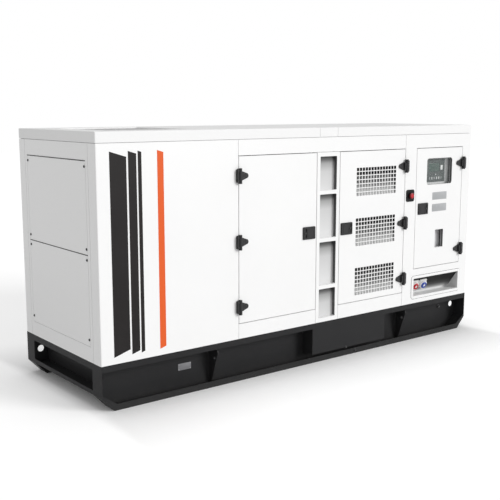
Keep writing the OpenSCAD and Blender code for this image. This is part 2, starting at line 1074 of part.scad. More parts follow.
// Latch plate with a raised paddle, and a lock barrel in the finger slot on the side given
module latch(x, z, side) {
  slot_x = side * (latch_w / 2 - slot_w);
  translate([x, 0, z]) {
    difference() {
      union() {
        upright(fy - latch_t + 2, latch_t - 2)
          rounded_rect(latch_w, latch_h, 7);
        upright(fy - latch_t, latch_t)
          rounded_rect(latch_w - 8, latch_h - 8, 5);
      }
      upright(fy - latch_t - eps, slot_d + eps)
        translate([slot_x, 0])
          rounded_rect(slot_w, slot_h, 5);
      upright(fy - latch_t - eps, 1.5 + eps)
        translate([-side * slot_w / 2, 0])
          difference() {
            rounded_rect(latch_w - 2 * slot_w - 10, slot_h, 5);
            rounded_rect(latch_w - 2 * slot_w - 18, slot_h - 8, 3);
          }
    }
    translate([slot_x, fy, 0])
      rotate([90, 0, 0])
        cylinder(h = latch_t, d = lock_d);
  }
}

module left_door_latch() {
  color(black)
    latch(door1_x1 - latch_in - latch_w / 2, (door_z0 + door_z1) / 2, -1);
}

module right_door_latch() {
  color(black)
    latch(door2_x0 + latch_in + latch_w / 2, (door_z0 + door_z1) / 2, 1);
}

module control_door_latch() {
  color(black)
    latch(cdoor_x0 + latch_ctl_in + latch_w / 2, (cdoor_z0 + door_z1) / 2, 1);
}

// Rear doors stay shut: their hinges and latches are whole
module rear_door_fittings() {
  color(black)
    mirror([0, 1, 0]) {
      at_left_door() {
        hinge_bar();
        hinge_leaf_shut();
      }
      at_right_door() {
        hinge_bar();
        hinge_leaf_shut();
      }
      latch(door1_x1 - latch_in - latch_w / 2, (door_z0 + door_z1) / 2, -1);
      latch(door2_x0 + latch_in + latch_w / 2, (door_z0 + door_z1) / 2, 1);
    }
}

module hinge_leaf_shut() {
  mid = hinge_h / 2 + 2 * eps;
  translate([0, 0, -mid / 2])
    cylinder(h = mid, r = barrel_r);
  translate([-barrel_r - 2 * knuckle_side, -arm_d, -mid / 2])
    cube([arm_w + barrel_r + 2 * knuckle_side, hinge_out + arm_d, mid]);
  leaf_plate(barrel_r + 1);
}

// Roof

module roof_profile(w) {
  translate([-w / 2, zr])
    square([w, roof_h - roof_r]);
  translate([-w / 2 + roof_r, zr])
    square([w - 2 * roof_r, roof_h]);
  for (s = [-1, 1]) {
    translate([s * (w / 2 - roof_r), height - roof_r])
      circle(roof_r);
  }
}

// The roof tray: both edge roundings, with the shadow gap under its rim
module roof_tray() {
  difference() {
    intersection() {
      translate([0, hw, 0])
        rotate([90, 0, 0])
          linear_extrude(width)
            roof_profile(length);
      rotate([90, 0, 90])
        translate([0, 0, -hl])
          linear_extrude(length)
            roof_profile(width);
      translate([0, 0, zr - eps])
        linear_extrude(roof_h + 2 * eps) {
          square([length - 2 * corner_r, width], center = true);
          square([length, width - 2 * corner_r], center = true);
          for (sx = [-1, 1]) {
            for (sy = [-1, 1]) {
              translate([sx * (hl - corner_r), sy * (hw - corner_r)])
                circle(corner_r);
            }
          }
        }
    }
    difference() {
      translate([-hl - eps, -hw - eps, zr - eps])
        cube([length + 2 * eps, width + 2 * eps, seam + eps]);
      translate([-hl + seam_d, -hw + seam_d, zr - 2 * eps])
        cube([length - 2 * seam_d, width - 2 * seam_d, seam + 3 * eps]);
    }
  }
}

module roof_panels() {
  color(white)
    difference() {
      roof_tray();
      translate([strap_l - seam, -hw - eps, zr - eps])
        cube([strap_w + 2 * seam, width + 2 * eps, roof_h + 2 * eps]);
      translate([out_x0, -outlet_w / 2, zr - eps])
        cube([outlet_len, outlet_w, roof_h + 2 * eps]);
    }
}

module roof_strap() {
  color(white)
    intersection() {
      roof_tray();
      translate([strap_l, -hw - eps, zr - eps])
        cube([strap_w, width + 2 * eps, roof_h + 2 * eps]);
    }
}

module roof_outlet_grille() {
  inner_len = outlet_len - 2 * outlet_frame;
  inner_w = outlet_w - 2 * outlet_frame;
  frame_z = height - outlet_set - outlet_h;
  bars = floor(inner_len / outlet_step) - 1;
  bar_step = inner_len / (bars + 1);
  color(white) {
    difference() {
      translate([out_x0, -outlet_w / 2, frame_z])
        cube([outlet_len, outlet_w, outlet_h]);
      translate([out_x0 + outlet_frame, -inner_w / 2, frame_z - eps])
        cube([inner_len, inner_w, outlet_h + 2 * eps]);
    }
    for (i = [1:bars]) {
      translate([out_x0 + outlet_frame + i * bar_step - outlet_bar / 2, -inner_w / 2 - eps, frame_z + 2])
        cube([outlet_bar, inner_w + 2 * eps, outlet_h - 4]);
    }
    for (sy = [-1, 1]) {
      translate([out_x0 + outlet_frame - eps, sy * inner_w / 6 - outlet_bar / 2, frame_z + 2])
        cube([inner_len + 2 * eps, outlet_bar, outlet_h / 2]);
    }
  }
}

// Control section

module control_cabinet() {
  color(grey)
    difference() {
      translate([ctl_x0 - cabinet_t, iy, ctl_z0 - cabinet_t])
        cube([ctl_x1 - ctl_x0 + 2 * cabinet_t, cabinet_d, head_z - ctl_z0 + 2 * cabinet_t]);
      translate([ctl_x0, iy - eps, ctl_z0])
        cube([ctl_x1 - ctl_x0, cabinet_d - cabinet_t + eps, head_z - ctl_z0]);
    }
}

module instrument_panel() {
  color(grey)
    translate([ctl_x0, panel_y, ctl_z0])
      cube([ctl_x1 - ctl_x0, panel_t, head_z - ctl_z0]);
}

module controller() {
  color([0.16, 0.2, 0.19])
    difference() {
      upright(panel_y - ctrl_t, ctrl_t)
        translate([view_cx + ctrl_dx, view_cz + ctrl_dz])
          rounded_rect(ctrl_w, ctrl_h, 8);
      upright(panel_y - ctrl_t - eps, display_in + eps)
        translate([view_cx + display_dx, view_cz + display_dz])
          rounded_rect(display_w, display_h, 3);
    }
}

// Moulded-case breaker on the instrument panel, reached through the cut-out
module breaker() {
  front_y = iy + breaker_clear;
  lever_t = 3;
  color(grey) {
    upright(front_y + lever_t, panel_y - front_y - lever_t)
      translate([cut_cx, cut_cz])
        rounded_rect(cut_w + 2 * breaker_lap, cut_h + 2 * breaker_lap, 4);
    upright(front_y, lever_t + eps)
      translate([cut_cx, cut_cz])
        rounded_rect(cut_w / 3, cut_h / 2, 4);
  }
}

// Side view of the socket recess, with its sheet thickness t outside
module recess_side(t) {
  polygon([
    [fy - eps, rec_z0 - t],
    [fy + socket_d + t, rec_z0 - t],
    [fy + socket_d + t, rec_z0 + slope_foot],
    [fy + slope_head + t, rec_z1 + t],
    [fy - eps, rec_z1 + t]
  ]);
}

// Folded tray with a sloping back, flanged to the face of the wall
module socket_recess() {
  tray_w = rec_x1 - rec_x0;
  color(white)
    difference() {
      union() {
        intersection() {
          along(rec_x0, tray_w)
            recess_side(rec_t);
          translate([rec_x0, fy, rec_z0 - rec_t])
            cube([tray_w, socket_d + 2 * rec_t, socket_h + 2 * rec_t]);
        }
        upright(fy - flange_t, flange_t)
          translate([(rec_x0 + rec_x1) / 2, (rec_z0 + rec_z1) / 2])
            rounded_rect(tray_w + 2 * flange_w, socket_h + 2 * flange_w, 6);
      }
      along(rec_x0 + rec_t, tray_w - 2 * rec_t)
        recess_side(0);
      upright(fy - flange_t - eps, flange_t + eps)
        translate([rec_x0 + rec_t, rec_z0])
          square([tray_w - 2 * rec_t, socket_h]);
    }
}

// Places on the sloping back, with +Z pointing out of the recess
module on_slope(x) {
  run = socket_d - slope_head;
  fall = socket_h - slope_foot;
  down = socket_drop / sqrt(run * run + fall * fall);
  translate([x, fy + slope_head + run * down, rec_z1 - fall * down])
    rotate([90 + atan(run / fall), 0, 0])
      children();
}

// Leans a socket's body up from its base plate
module leaning() {
  rotate([-socket_tilt, 0, 0])
    children();
}

module socket_base() {
  seat = 0.2;
  translate([0, 0, seat])
    linear_extrude(base_t)
      rounded_rect(base_w, base_w, 12);
  difference() {
    leaning()
      translate([0, 0, -body_d / 2])
        cylinder(h = body_l + body_d / 2, d = body_d);
    translate([0, 0, base_t / 2 - body_d])
      cube(2 * body_d, center = true);
  }
}

module socket_bases() {
  color(white) {
    on_slope(red_x)
      socket_base();
    on_slope(blue_x)
      socket_base();
  }
}

// Screw ring with a raised grip round a dished middle
module socket_lid() {
  r = lid_d / 2;
  leaning()
    translate([0, 0, body_l])
      rotate_extrude()
        polygon([
          [0, 0],
          [r, 0],
          [r, lid_h - 4],
          [r - 4, lid_h],
          [r - 12, lid_h],
          [r - 14, lid_h / 2],
          [0, lid_h / 2]
        ]);
}

module red_socket_lid() {
  color([0.75, 0.08, 0.1])
    on_slope(red_x)
      socket_lid();
}

module blue_socket_lid() {
  color([0.1, 0.2, 0.6])
    on_slope(blue_x)
      socket_lid();
}

module stop_housing() {
  color(black)
    difference() {
      union() {
        upright(fy - stop_t, stop_t)
          translate([stop_x, stop_cz])
            rounded_rect(stop_w, stop_h, 16);
        translate([stop_x, fy, stop_cz])
          rotate([90, 0, 0])
            cylinder(h = collar_h, d = collar_d);
      }
      translate([stop_x, fy + eps, stop_cz])
        rotate([90, 0, 0])
          cylinder(h = collar_h + 2 * eps, r = stem_r + stem_clear);
    }
}

// Mushroom head on a stem that runs in the collar
module stop_button() {
  head_y = collar_h + button_travel + 1;
  r = button_r;
  color([0.8, 0.05, 0.06])
    translate([stop_x, fy, stop_cz])
      rotate([90, 0, 0]) {
        translate([0, 0, button_travel + 1])
          cylinder(h = head_y - button_travel + 1, r = stem_r);
        translate([0, 0, head_y])
          rotate_extrude()
            polygon([
              [0, 0],
              [r - 2, 0],
              [r, 2],
              [r, button_h - 4],
              [r - 2, button_h - 1.5],
              [r - 7, button_h],
              [0, button_h]
            ]);
      }
}

// Machinery behind the doors

// Conical rubber mount standing on the floor plate
module rubber_mount(x, y) {
  translate([x, y, zs])
    rotate_extrude()
      polygon([
        [0, 0],
        [mount_r, 0],
        [mount_r, 8],
        [mount_r - 14, mount_h - 10],
        [mount_r - 14, mount_h],
        [0, mount_h]
      ]);
}

// Foot bracket from a rubber mount, leaning in to the machine at the height z
module foot(x, y, z) {
  side = sign(y);
  low = zs + mount_h;
  rubber_mount(x, y);
  along(x - mount_r, 2 * mount_r)
    polygon([
      [y + side * mount_r, low],
      [y + side * mount_r, low + foot_t],
      [y - side * foot_t, low + foot_t],
      [y - side * foot_lean, z],
      [y - side * (foot_lean + 2 * foot_t), z],
      [y - side * (foot_lean + 2 * foot_t), low]
    ]);
}

// Crankcase with a waist, over a tapered sump
module crankcase() {
  half = block_w / 2;
  waist = head_w / 2 + 10;
  along(block_x0, block_x1 - block_x0)
    translate([0, shaft_z])
      polygon([
        [-half, -skirt_h],
        [half, -skirt_h],
        [half, skirt_h * 0.2],
        [waist, skirt_h * 0.7],
        [waist, deck_h],
        [-waist, deck_h],
        [-waist, skirt_h * 0.7],
        [-half, skirt_h * 0.2]
      ]);
  along(block_x0 + 40, block_x1 - block_x0 - 60)
    translate([0, shaft_z - skirt_h])
      polygon([
        [-half + 20, eps],
        [-half + 60, -sump_h],
        [half - 60, -sump_h],
        [half - 20, eps]
      ]);
}

// One head for each cylinder, with a domed rocker cover, an exhaust port and an inlet port
module cylinder_heads() {
  for (i = [0:cylinders - 1]) {
    x = block_x0 + i * bore_pitch;
    along(x + 5, bore_pitch - 10)
      translate([0, shaft_z + deck_h + cyl_head_h / 2 - eps])
        square([head_w, cyl_head_h + eps], center = true);
    along(x + 18, bore_pitch - 36)
      translate([0, shaft_z + deck_h + cyl_head_h + 20])
        rounded_rect(head_w * 0.6, 80, 26);
    translate([x + bore_pitch / 2, 0, shaft_z + deck_h + cyl_head_h / 2])
      rotate([-90, 0, 0])
        cylinder(h = head_w / 2 + manifold_r + 40, r = manifold_r * 0.6);
    translate([x + bore_pitch / 2 - 30, -head_w / 2 - 60, shaft_z + deck_h + 30])
      cube([60, 70, 60]);
  }
}

// Exhaust manifold with its turbocharger on the far side, inlet manifold on the near side
module manifolds() {
  ex_y = head_w / 2 + manifold_r + 40;
  port_z = shaft_z + deck_h + cyl_head_h / 2;
  mid_x = (block_x0 + block_x1) / 2;
  translate([block_x0 + 40, ex_y, port_z])
    rotate([0, 90, 0])
      cylinder(h = block_x1 - block_x0 - 80, r = manifold_r);
  translate([mid_x, ex_y + 20, port_z + manifold_r + 90])
    rotate([0, 90, 0]) {
      rotate_extrude()
        translate([70, 0])
          circle(34);
      translate([0, 0, -50])
        cylinder(h = 150, r = 50);
    }
  translate([mid_x - 45, ex_y - 25, port_z])
    cube([90, 60, manifold_r + 60]);
  along(block_x0 + 30, block_x1 - block_x0 - 60)
    translate([-head_w / 2 - 95, port_z])
      rounded_rect(90, 110, 30);
}

// Filters, starter and pump on the near side of the crankcase
module engine_auxiliaries() {
  near = -block_w / 2;
  for (i = [0:1]) {
    translate([block_x0 + 260 + i * 120, near - 62, shaft_z - 130])
      cylinder(h = 180, r = 46);
    translate([block_x0 + 210 + i * 120, near - 110, shaft_z + 40])
      cube([100, 125, 34]);
  }
  translate([block_x1 - 280, near - 45, shaft_z - 90])
    rotate([0, 90, 0])
      cylinder(h = 285, r = 56);
  translate([block_x1 - 230, near - 15, shaft_z])
    rotate([0, 90, 0])
      cylinder(h = 150, r = 30);
  along(block_x0 + 470, 190)
    translate([near - 40, shaft_z - 60])
      rounded_rect(120, 110, 16);
}

// Pulleys on the front of the block and the pitched blades of the fan
module fan_drive() {
  hub_r = 70;
  blade_w = 120;
  blade_a = 35;
  fan_x = rad_x1 + 60;
  translate([block_x0 - 70, 0, shaft_z])
    rotate([0, 90, 0])
      rotate_extrude()
        polygon([[0, 0], [105, 0], [105, 10], [90, 22], [105, 34], [105, 44], [60, 44], [60, 71], [0, 71]]);
  translate([fan_x - 20, 0, fan_z])
    rotate([0, 90, 0])
      cylinder(h = block_x0 - fan_x + 21, r = hub_r);
  translate([fan_x, 0, fan_z])
    for (i = [0:fan_blades - 1]) {
      rotate([i * 360 / fan_blades, 0, 0])
        rotate([0, 0, blade_a])
          translate([-4, -blade_w / 2, hub_r - 20])
            cube([8, blade_w, fan_r - hub_r + 20]);
    }
}

module engine() {
  color([0.24, 0.28, 0.3]) {
    crankcase();
    cylinder_heads();
    manifolds();
    engine_auxiliaries();
    fan_drive();
    translate([block_x1 - 1, 0, shaft_z])
      rotate([0, 90, 0])
        rotate_extrude()
          polygon([
            [0, 0],
            [block_w / 2, 0],
            [bell_r, bell_len / 2],
            [bell_r, bell_len + 1],
            [0, bell_len + 1]
          ]);
    for (sy = [-1, 1]) {
      foot(block_x0 + foot_in, sy * (block_w / 2 + foot_out), shaft_z - mount_r);
      foot(block_x1 + bell_len / 2, sy * (block_w / 2 + foot_out), shaft_z - 2 * mount_r);
    }
  }
}

// Alternator: frame with ribs, taper at the drive end, slotted end shield and terminal box
module alternator() {
  ribs = 18;
  slots = 12;
  barrel = alt_r - rib_h;
  frame_l = alt_len - shield_l;
  taper_l = 2 * (bell_r - barrel);
  flange_l = 22;
  rib_z = taper_l - rib_h / 2;
  color([0.3, 0.33, 0.35]) {
    translate([alt_x0, 0, shaft_z])
      rotate([0, 90, 0])
        difference() {
          union() {
            rotate_extrude()
              polygon([
                [0, 0],
                [bell_r, 0],
                [bell_r, flange_l],
                [barrel, flange_l + taper_l / 2],
                [barrel, frame_l],
                [barrel - rib_h, frame_l + rib_h / 2],
                [barrel - rib_h, alt_len - rib_h],
                [barrel - 2 * rib_h, alt_len],
                [0, alt_len]
              ]);
            for (i = [0:ribs - 1]) {
              rotate([0, 0, i * 360 / ribs])
                translate([barrel - rib_h, -rib_t / 2, rib_z])
                  cube([2 * rib_h, rib_t, frame_l - rib_h - rib_z]);
            }
          }
          for (i = [0:slots - 1]) {
            rotate([0, 0, (i + 0.5) * 360 / slots])
              translate([barrel - 3 * rib_h, -rib_t, frame_l + rib_h])
                cube([3 * rib_h, 2 * rib_t, shield_l - 2.5 * rib_h]);
          }
        }
    along(alt_x0 + taper_l, frame_l - 2 * taper_l + rib_h)
      translate([0, shaft_z + barrel - 2 * rib_h])
        polygon([
          [-term_w / 2, 0],
          [term_w / 2, 0],
          [term_w / 2, term_h * 0.6],
          [term_w / 2 - term_h * 0.25, term_h],
          [-term_w / 2 + term_h * 0.25, term_h],
          [-term_w / 2, term_h * 0.6]
        ]);
    for (sy = [-1, 1]) {
      foot(alt_x0 + frame_l - mount_r - taper_l, sy * (barrel + rib_h / 2), shaft_z - barrel / 2);
    }
  }
}

// Radiator: finned core in a channel frame under its header tank, with the ring that the fan runs in
module radiator() {
  frame = 50;
  fin_step = 24;
  core_w = rad_w - 2 * frame;
  core_h = rad_h - 3 * frame;
  fins = floor(core_w / fin_step) - 1;
  ring_r = fan_r + fan_clear;
  color([0.14, 0.14, 0.15]) {
    difference() {
      translate([rad_x1 - rad_t, -rad_w / 2, zs])
        cube([rad_t, rad_w, rad_h - frame]);
      for (i = [0:fins]) {
        translate([rad_x1 - rad_t - eps, -core_w / 2 + (i + 0.5) * core_w / (fins + 1) - 4, zs + frame])
          cube([12, 8, core_h]);
      }
    }
    translate([0, rad_w / 2, 0])
      rotate([90, 0, 0])
        linear_extrude(rad_w)
          translate([rad_x1 - rad_t / 2, zs + rad_h - 2 * frame])
            rounded_rect(rad_t + 30, 3 * frame, 30);
    translate([rad_x1 - rad_t / 2, 0, zs + rad_h - 2 * frame])
      cylinder(h = 2.1 * frame, r = 30);
    translate([rad_x1 - 1, 0, fan_z])
      rotate([0, 90, 0])
        rotate_extrude()
          polygon([
            [ring_r, 0],
            [ring_r + 50, 0],
            [ring_r + 50, 4],
            [ring_r + 4, 30],
            [ring_r + 4, 91],
            [ring_r, 91]
          ]);
  }
}

front_rail();
rear_rail();
end_beams();
rail_gussets();
rail_centre_boxes();
base_tank();
front_left_panel();
rear_left_panel();
end_walls();
end_covers();
door_headers();
door_sills();
front_ladder_post();
rear_post();
control_left_jamb();
control_right_jamb();
control_header();
control_lower_panel();
rear_right_panel();
rear_left_door();
rear_right_door();
rear_door_grilles();
rear_door_fittings();
roof_panels();
roof_strap();
roof_outlet_grille();
door_hinge_bars();
front_left_door();
left_door_hinge_leaves();
left_door_latch();
front_right_door();
right_door_grilles();
right_door_hinge_leaves();
right_door_latch();
control_door();
control_window();
control_door_hinge_leaves();
control_door_latch();
control_cabinet();
instrument_panel();
controller();
breaker();
socket_recess();
socket_bases();
red_socket_lid();
blue_socket_lid();
stop_housing();
stop_button();
engine();
alternator();
radiator();
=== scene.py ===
import math
import bmesh
import bpy
from mathutils import Matrix, Vector


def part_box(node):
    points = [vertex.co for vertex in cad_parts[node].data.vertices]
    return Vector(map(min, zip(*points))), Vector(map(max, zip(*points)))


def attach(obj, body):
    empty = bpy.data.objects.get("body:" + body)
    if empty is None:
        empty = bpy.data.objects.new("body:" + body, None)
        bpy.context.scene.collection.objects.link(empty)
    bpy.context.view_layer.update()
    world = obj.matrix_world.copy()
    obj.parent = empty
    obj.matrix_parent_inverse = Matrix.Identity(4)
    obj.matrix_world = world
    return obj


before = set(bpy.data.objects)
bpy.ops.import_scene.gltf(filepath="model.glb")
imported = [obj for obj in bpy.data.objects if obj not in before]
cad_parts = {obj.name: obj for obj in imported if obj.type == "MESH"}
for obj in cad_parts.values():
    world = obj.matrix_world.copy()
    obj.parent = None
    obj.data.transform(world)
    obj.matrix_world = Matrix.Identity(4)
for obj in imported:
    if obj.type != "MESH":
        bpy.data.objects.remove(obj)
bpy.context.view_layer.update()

# Skid: two lipped channel rails with gussets and a centre box each, tied by
# channel beams at the ends and by the tank pan between them. Welded steel
# plate under one coat of satin charcoal powder.
def new_finish(name, roughness, shine=0.5):
    finish = bpy.data.materials.new(name)
    finish.use_nodes = True
    shader = finish.node_tree.nodes["Principled BSDF"]
    shader.inputs["Roughness"].default_value = roughness
    shader.inputs["Specular IOR Level"].default_value = shine
    return finish, shader


def wire(finish, kind, inputs, **settings):
    made = finish.node_tree.nodes.new("ShaderNode" + kind)
    for key, value in settings.items():
        setattr(made, key, value)
    for key, value in inputs.items():
        if isinstance(value, bpy.types.NodeSocket):
            finish.node_tree.links.new(value, made.inputs[key])
        else:
            made.inputs[key].default_value = value
    return made


def feed(finish, value, shader, name):
    finish.node_tree.links.new(value, shader.inputs[name])


def axes(finish, kind="Object"):
    place = wire(finish, "TexCoord", {}).outputs[kind]
    return wire(finish, "SeparateXYZ", {"Vector": place}).outputs


def calc(finish, operation, first, second=0.0):
    return wire(finish, "Math", {0: first, 1: second}, operation=operation).outputs[0]


def mottle(finish, scale, detail=2.0):
    place = wire(finish, "TexCoord", {}).outputs["Object"]
    return wire(finish, "TexNoise", {"Vector": place, "Scale": scale, "Detail": detail}).outputs["Fac"]


def span(finish, value, low, high, start=0.3, end=0.7):
    limits = {"Value": value, "From Min": start, "From Max": end, "To Min": low, "To Max": high}
    return wire(finish, "MapRange", limits).outputs["Result"]


def over(finish, share, under, upper):
    under = under if isinstance(under, bpy.types.NodeSocket) else (*under, 1.0)
    upper = upper if isinstance(upper, bpy.types.NodeSocket) else (*upper, 1.0)
    return wire(finish, "Mix", {"Factor": share, "A": under, "B": upper}, data_type="RGBA").outputs["Result"]


def grain(finish, shader, scale, depth, strength):
    height = mottle(finish, scale)
    bump = wire(finish, "Bump", {"Height": height, "Strength": strength, "Distance": depth})
    feed(finish, bump.outputs["Normal"], shader, "Normal")


def coat(name, low, high, roughness, grain_scale, grain_depth, strength=0.25, broad_scale=2.3, shine=0.5):
    finish, shader = new_finish(name, roughness, shine)
    broad = mottle(finish, broad_scale, 3.0)
    feed(finish, over(finish, broad, low, high), shader, "Base Color")
    feed(finish, span(finish, broad, roughness - 0.05, roughness + 0.05), shader, "Roughness")
    grain(finish, shader, grain_scale, grain_depth, strength)
    return finish


def dress(finish, *names):
    for name in names:
        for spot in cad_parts[name].material_slots:
            spot.material = finish


DUST_TOP = 0.09
charcoal_coat, shader = new_finish("charcoal_coat", 0.42, 0.08)
broad = mottle(charcoal_coat, 2.3, 3.0)
charcoal = over(charcoal_coat, broad, (0.021, 0.021, 0.022), (0.027, 0.027, 0.028))
near_floor = span(charcoal_coat, axes(charcoal_coat)["Z"], 0.35, 0.0, 0.0, DUST_TOP)
dusty = calc(charcoal_coat, "MULTIPLY", near_floor, mottle(charcoal_coat, 17.0, 4.0))
dusted = over(charcoal_coat, dusty, charcoal, (0.070, 0.068, 0.064))
feed(charcoal_coat, dusted, shader, "Base Color")
feed(charcoal_coat, span(charcoal_coat, broad, 0.38, 0.48), shader, "Roughness")
grain(charcoal_coat, shader, 700.0, 0.0003, 0.25)
dress(charcoal_coat, "front_rail", "rear_rail", "end_beams", "rail_gussets", "rail_centre_boxes", "base_tank")

# Earth stud, drain plugs and blank plate on the front rail: a black hexagon
# bolt on a washer, two black hexagon plugs screwed into the box and the lip,
# and a grey plate riveted to the web.
ROOT = "canopy_and_skid"
FACE_Y = -0.550
WEB_Y = -0.438
FRONT = Matrix.Rotation(math.radians(90.0), 4, "X")
REAR = Matrix.Rotation(math.radians(180.0), 4, "Z") @ FRONT
LEFT_END = Matrix.Rotation(math.radians(-90.0), 4, "Z") @ FRONT
RIGHT_END = Matrix.Rotation(math.radians(90.0), 4, "Z") @ FRONT


def at(x, y, z, facing=FRONT):
    return Matrix.Translation((x, y, z)) @ facing


def begin(adder, **size):
    bpy.ops.object.select_all(action="DESELECT")
    adder(**size)
    return bpy.context.object


def choose(piece, wanted, kind="FACE"):
    bpy.ops.object.mode_set(mode="EDIT")
    bpy.ops.mesh.select_mode(type=kind)
    bpy.ops.mesh.select_all(action="DESELECT")
    shell = bmesh.from_edit_mesh(piece.data)
    for part in {"FACE": shell.faces, "EDGE": shell.edges, "VERT": shell.verts}[kind]:
        part.select_set(bool(wanted(part)))
    bmesh.update_edit_mesh(piece.data)


def close_up(angle=35.0):
    bpy.ops.object.mode_set(mode="EDIT")
    bpy.ops.mesh.select_mode(type="FACE")
    bpy.ops.mesh.select_all(action="SELECT")
    bpy.ops.mesh.remove_doubles(threshold=0.000002)
    bpy.ops.mesh.normals_make_consistent(inside=False)
    bpy.ops.object.mode_set(mode="OBJECT")
    bpy.ops.object.shade_smooth_by_angle(angle=math.radians(angle))


def stand_up(part, low):
    return all(abs(corner.co.z - low) < 1e-6 for corner in part.verts)


def merge(first, second):
    bpy.ops.object.select_all(action="DESELECT")
    second.select_set(True)
    first.select_set(True)
    bpy.context.view_layer.objects.active = first
    bpy.ops.object.join()
    return first


def hexagon_bolt(across, tall, washer_r, washer_t):
    washer = begin(bpy.ops.mesh.primitive_cylinder_add, vertices=24, radius=washer_r, depth=washer_t,
                   location=(0.0, 0.0, washer_t / 2))
    bpy.ops.object.transform_apply()
    choose(washer, lambda edge: stand_up(edge, washer_t), "EDGE")
    bpy.ops.mesh.bevel(offset=washer_t * 0.3, segments=2, affect="EDGES")
    bpy.ops.object.mode_set(mode="OBJECT")
    head = begin(bpy.ops.mesh.primitive_cylinder_add, vertices=6, radius=across / math.sqrt(3.0), depth=tall,
                 location=(0.0, 0.0, washer_t + tall / 2))
    bpy.ops.object.transform_apply()
    choose(head, lambda face: face.normal.z > 0.9)
    bpy.ops.mesh.inset(thickness=across * 0.07)
    bpy.ops.transform.translate(value=(0.0, 0.0, tall * 0.12))
    bpy.ops.mesh.inset(thickness=across * 0.12)
    bpy.ops.transform.translate(value=(0.0, 0.0, -tall * 0.06))
    bpy.ops.object.mode_set(mode="OBJECT")
    bolt = merge(washer, head)
    close_up(25.0)
    return bolt


def rounded_plate(width, tall, thick, corner, edge):
    plate = begin(bpy.ops.mesh.primitive_plane_add, size=1.0)
    plate.scale = (width, tall, 1.0)
    bpy.ops.object.transform_apply(scale=True)
    choose(plate, lambda vert: True, "VERT")
    bpy.ops.mesh.bevel(offset=corner, segments=5, affect="VERTICES")
    choose(plate, lambda face: True)
    bpy.ops.mesh.extrude_region_move(TRANSFORM_OT_translate={"value": (0.0, 0.0, thick)})
    choose(plate, lambda part: stand_up(part, thick), "EDGE")
    bpy.ops.mesh.bevel(offset=edge, segments=2, affect="EDGES")
    close_up()
    return plate


def domed_head(radius, tall, recess=0.0, sides=16):
    head = begin(bpy.ops.mesh.primitive_cylinder_add, vertices=sides, radius=radius, depth=tall,
                 location=(0.0, 0.0, tall / 2))
    bpy.ops.object.transform_apply()
    choose(head, lambda edge: stand_up(edge, tall), "EDGE")
    bpy.ops.mesh.bevel(offset=tall * 0.62, segments=3, affect="EDGES")
    if recess:
        choose(head, lambda face: face.normal.z > 0.9 and face.calc_center_median().z > tall - 1e-6)
        bpy.ops.mesh.inset(thickness=radius * 0.10)
        bpy.ops.mesh.extrude_region_move(TRANSFORM_OT_translate={"value": (0.0, 0.0, -recess)})
    close_up()
    return head


def settle(pattern, finish, slot, *groups):
    for name, body, spots in groups:
        bpy.ops.object.select_all(action="DESELECT")
        for spot in spots:
            twin = pattern.copy()
            twin.data = pattern.data.copy()
            twin.data.transform(spot)
            bpy.context.collection.objects.link(twin)
            twin.select_set(True)
            bpy.context.view_layer.objects.active = twin
        bpy.ops.object.join()
        piece = bpy.context.view_layer.objects.active
        piece.name = name
        piece.data.name = name
        piece.data.materials.clear()
        piece.data.materials.append(finish)
        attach(piece, body)
    bpy.data.objects.remove(pattern, do_unlink=True)


def metal(name, low, high, roughness):
    finish = coat(name, low, high, roughness, 900.0, 0.0001, 0.2, 60.0)
    finish.node_tree.nodes["Principled BSDF"].inputs["Metallic"].default_value = 1.0
    return finish


zinc_plate = metal("zinc_plate", (0.52, 0.53, 0.54), (0.66, 0.67, 0.68), 0.32)
black_oxide = coat("black_oxide", (0.020, 0.020, 0.021), (0.030, 0.030, 0.031), 0.38, 900.0, 0.0002,
                   broad_scale=60.0)
dull_plate = coat("dull_plate", (0.17, 0.17, 0.18), (0.21, 0.21, 0.22), 0.45, 900.0, 0.0001, 0.2, 60.0)
BOX_Y = -0.547
PLATE_X, PLATE_Z, PLATE_T = -1.066, 0.150, 0.0012
CORNERS = [(sx, sz) for sx in (-1, 1) for sz in (-1, 1)]
settle(hexagon_bolt(0.019, 0.010, 0.014, 0.0025), black_oxide, "skid_charcoal",
       ("earth_stud", ROOT, [at(1.539, WEB_Y, 0.190)]))
settle(hexagon_bolt(0.013, 0.006, 0.011, 0.0020), black_oxide, "skid_charcoal",
       ("drain_plugs", ROOT, [at(0.338, BOX_Y, 0.063), at(0.435, FACE_Y, 0.024)]))
settle(rounded_plate(0.104, 0.046, PLATE_T, 0.004, 0.0003), dull_plate, "skid_charcoal",
       ("blank_rail_plate", ROOT, [at(PLATE_X, WEB_Y, PLATE_Z)]))
settle(domed_head(0.0026, 0.0014), zinc_plate, "skid_charcoal",
       ("rail_plate_rivets", ROOT, [at(PLATE_X + sx * 0.046, WEB_Y - PLATE_T, PLATE_Z + sz * 0.017)
                                    for sx, sz in CORNERS]))

# Weld beads: the gussets are fillet welded to the web of their rail along both
# sides, one bead each, under the same charcoal coat.
GUSSET_X = (-0.860, 1.012)
GUSSET_T = 0.012
GUSSET_Z = 0.150


def weld_bead(length, leg, ripples):
    bead = begin(bpy.ops.mesh.primitive_cylinder_add, vertices=10, radius=leg, depth=length)
    choose(bead, lambda face: abs(face.normal.z) < 0.5)
    bpy.ops.mesh.subdivide(number_cuts=1)
    bpy.ops.object.mode_set(mode="OBJECT")
    bpy.ops.object.transform_apply()
    for place in range(1, ripples):
        choose(bead, lambda part: True)
        level = -length / 2 + place * length / ripples
        bpy.ops.mesh.bisect(plane_co=(0.0, 0.0, level), plane_no=(0.0, 0.0, 1.0))
    bpy.ops.object.mode_set(mode="OBJECT")
    rings = sorted({round(vert.co.z, 5) for vert in bead.data.vertices})
    for ring in rings[1:-1:2]:
        choose(bead, lambda vert: abs(vert.co.z - ring) < 2e-5, "VERT")
        bpy.ops.transform.resize(value=(1.14, 1.14, 1.0))
    close_up(60.0)
    return bead


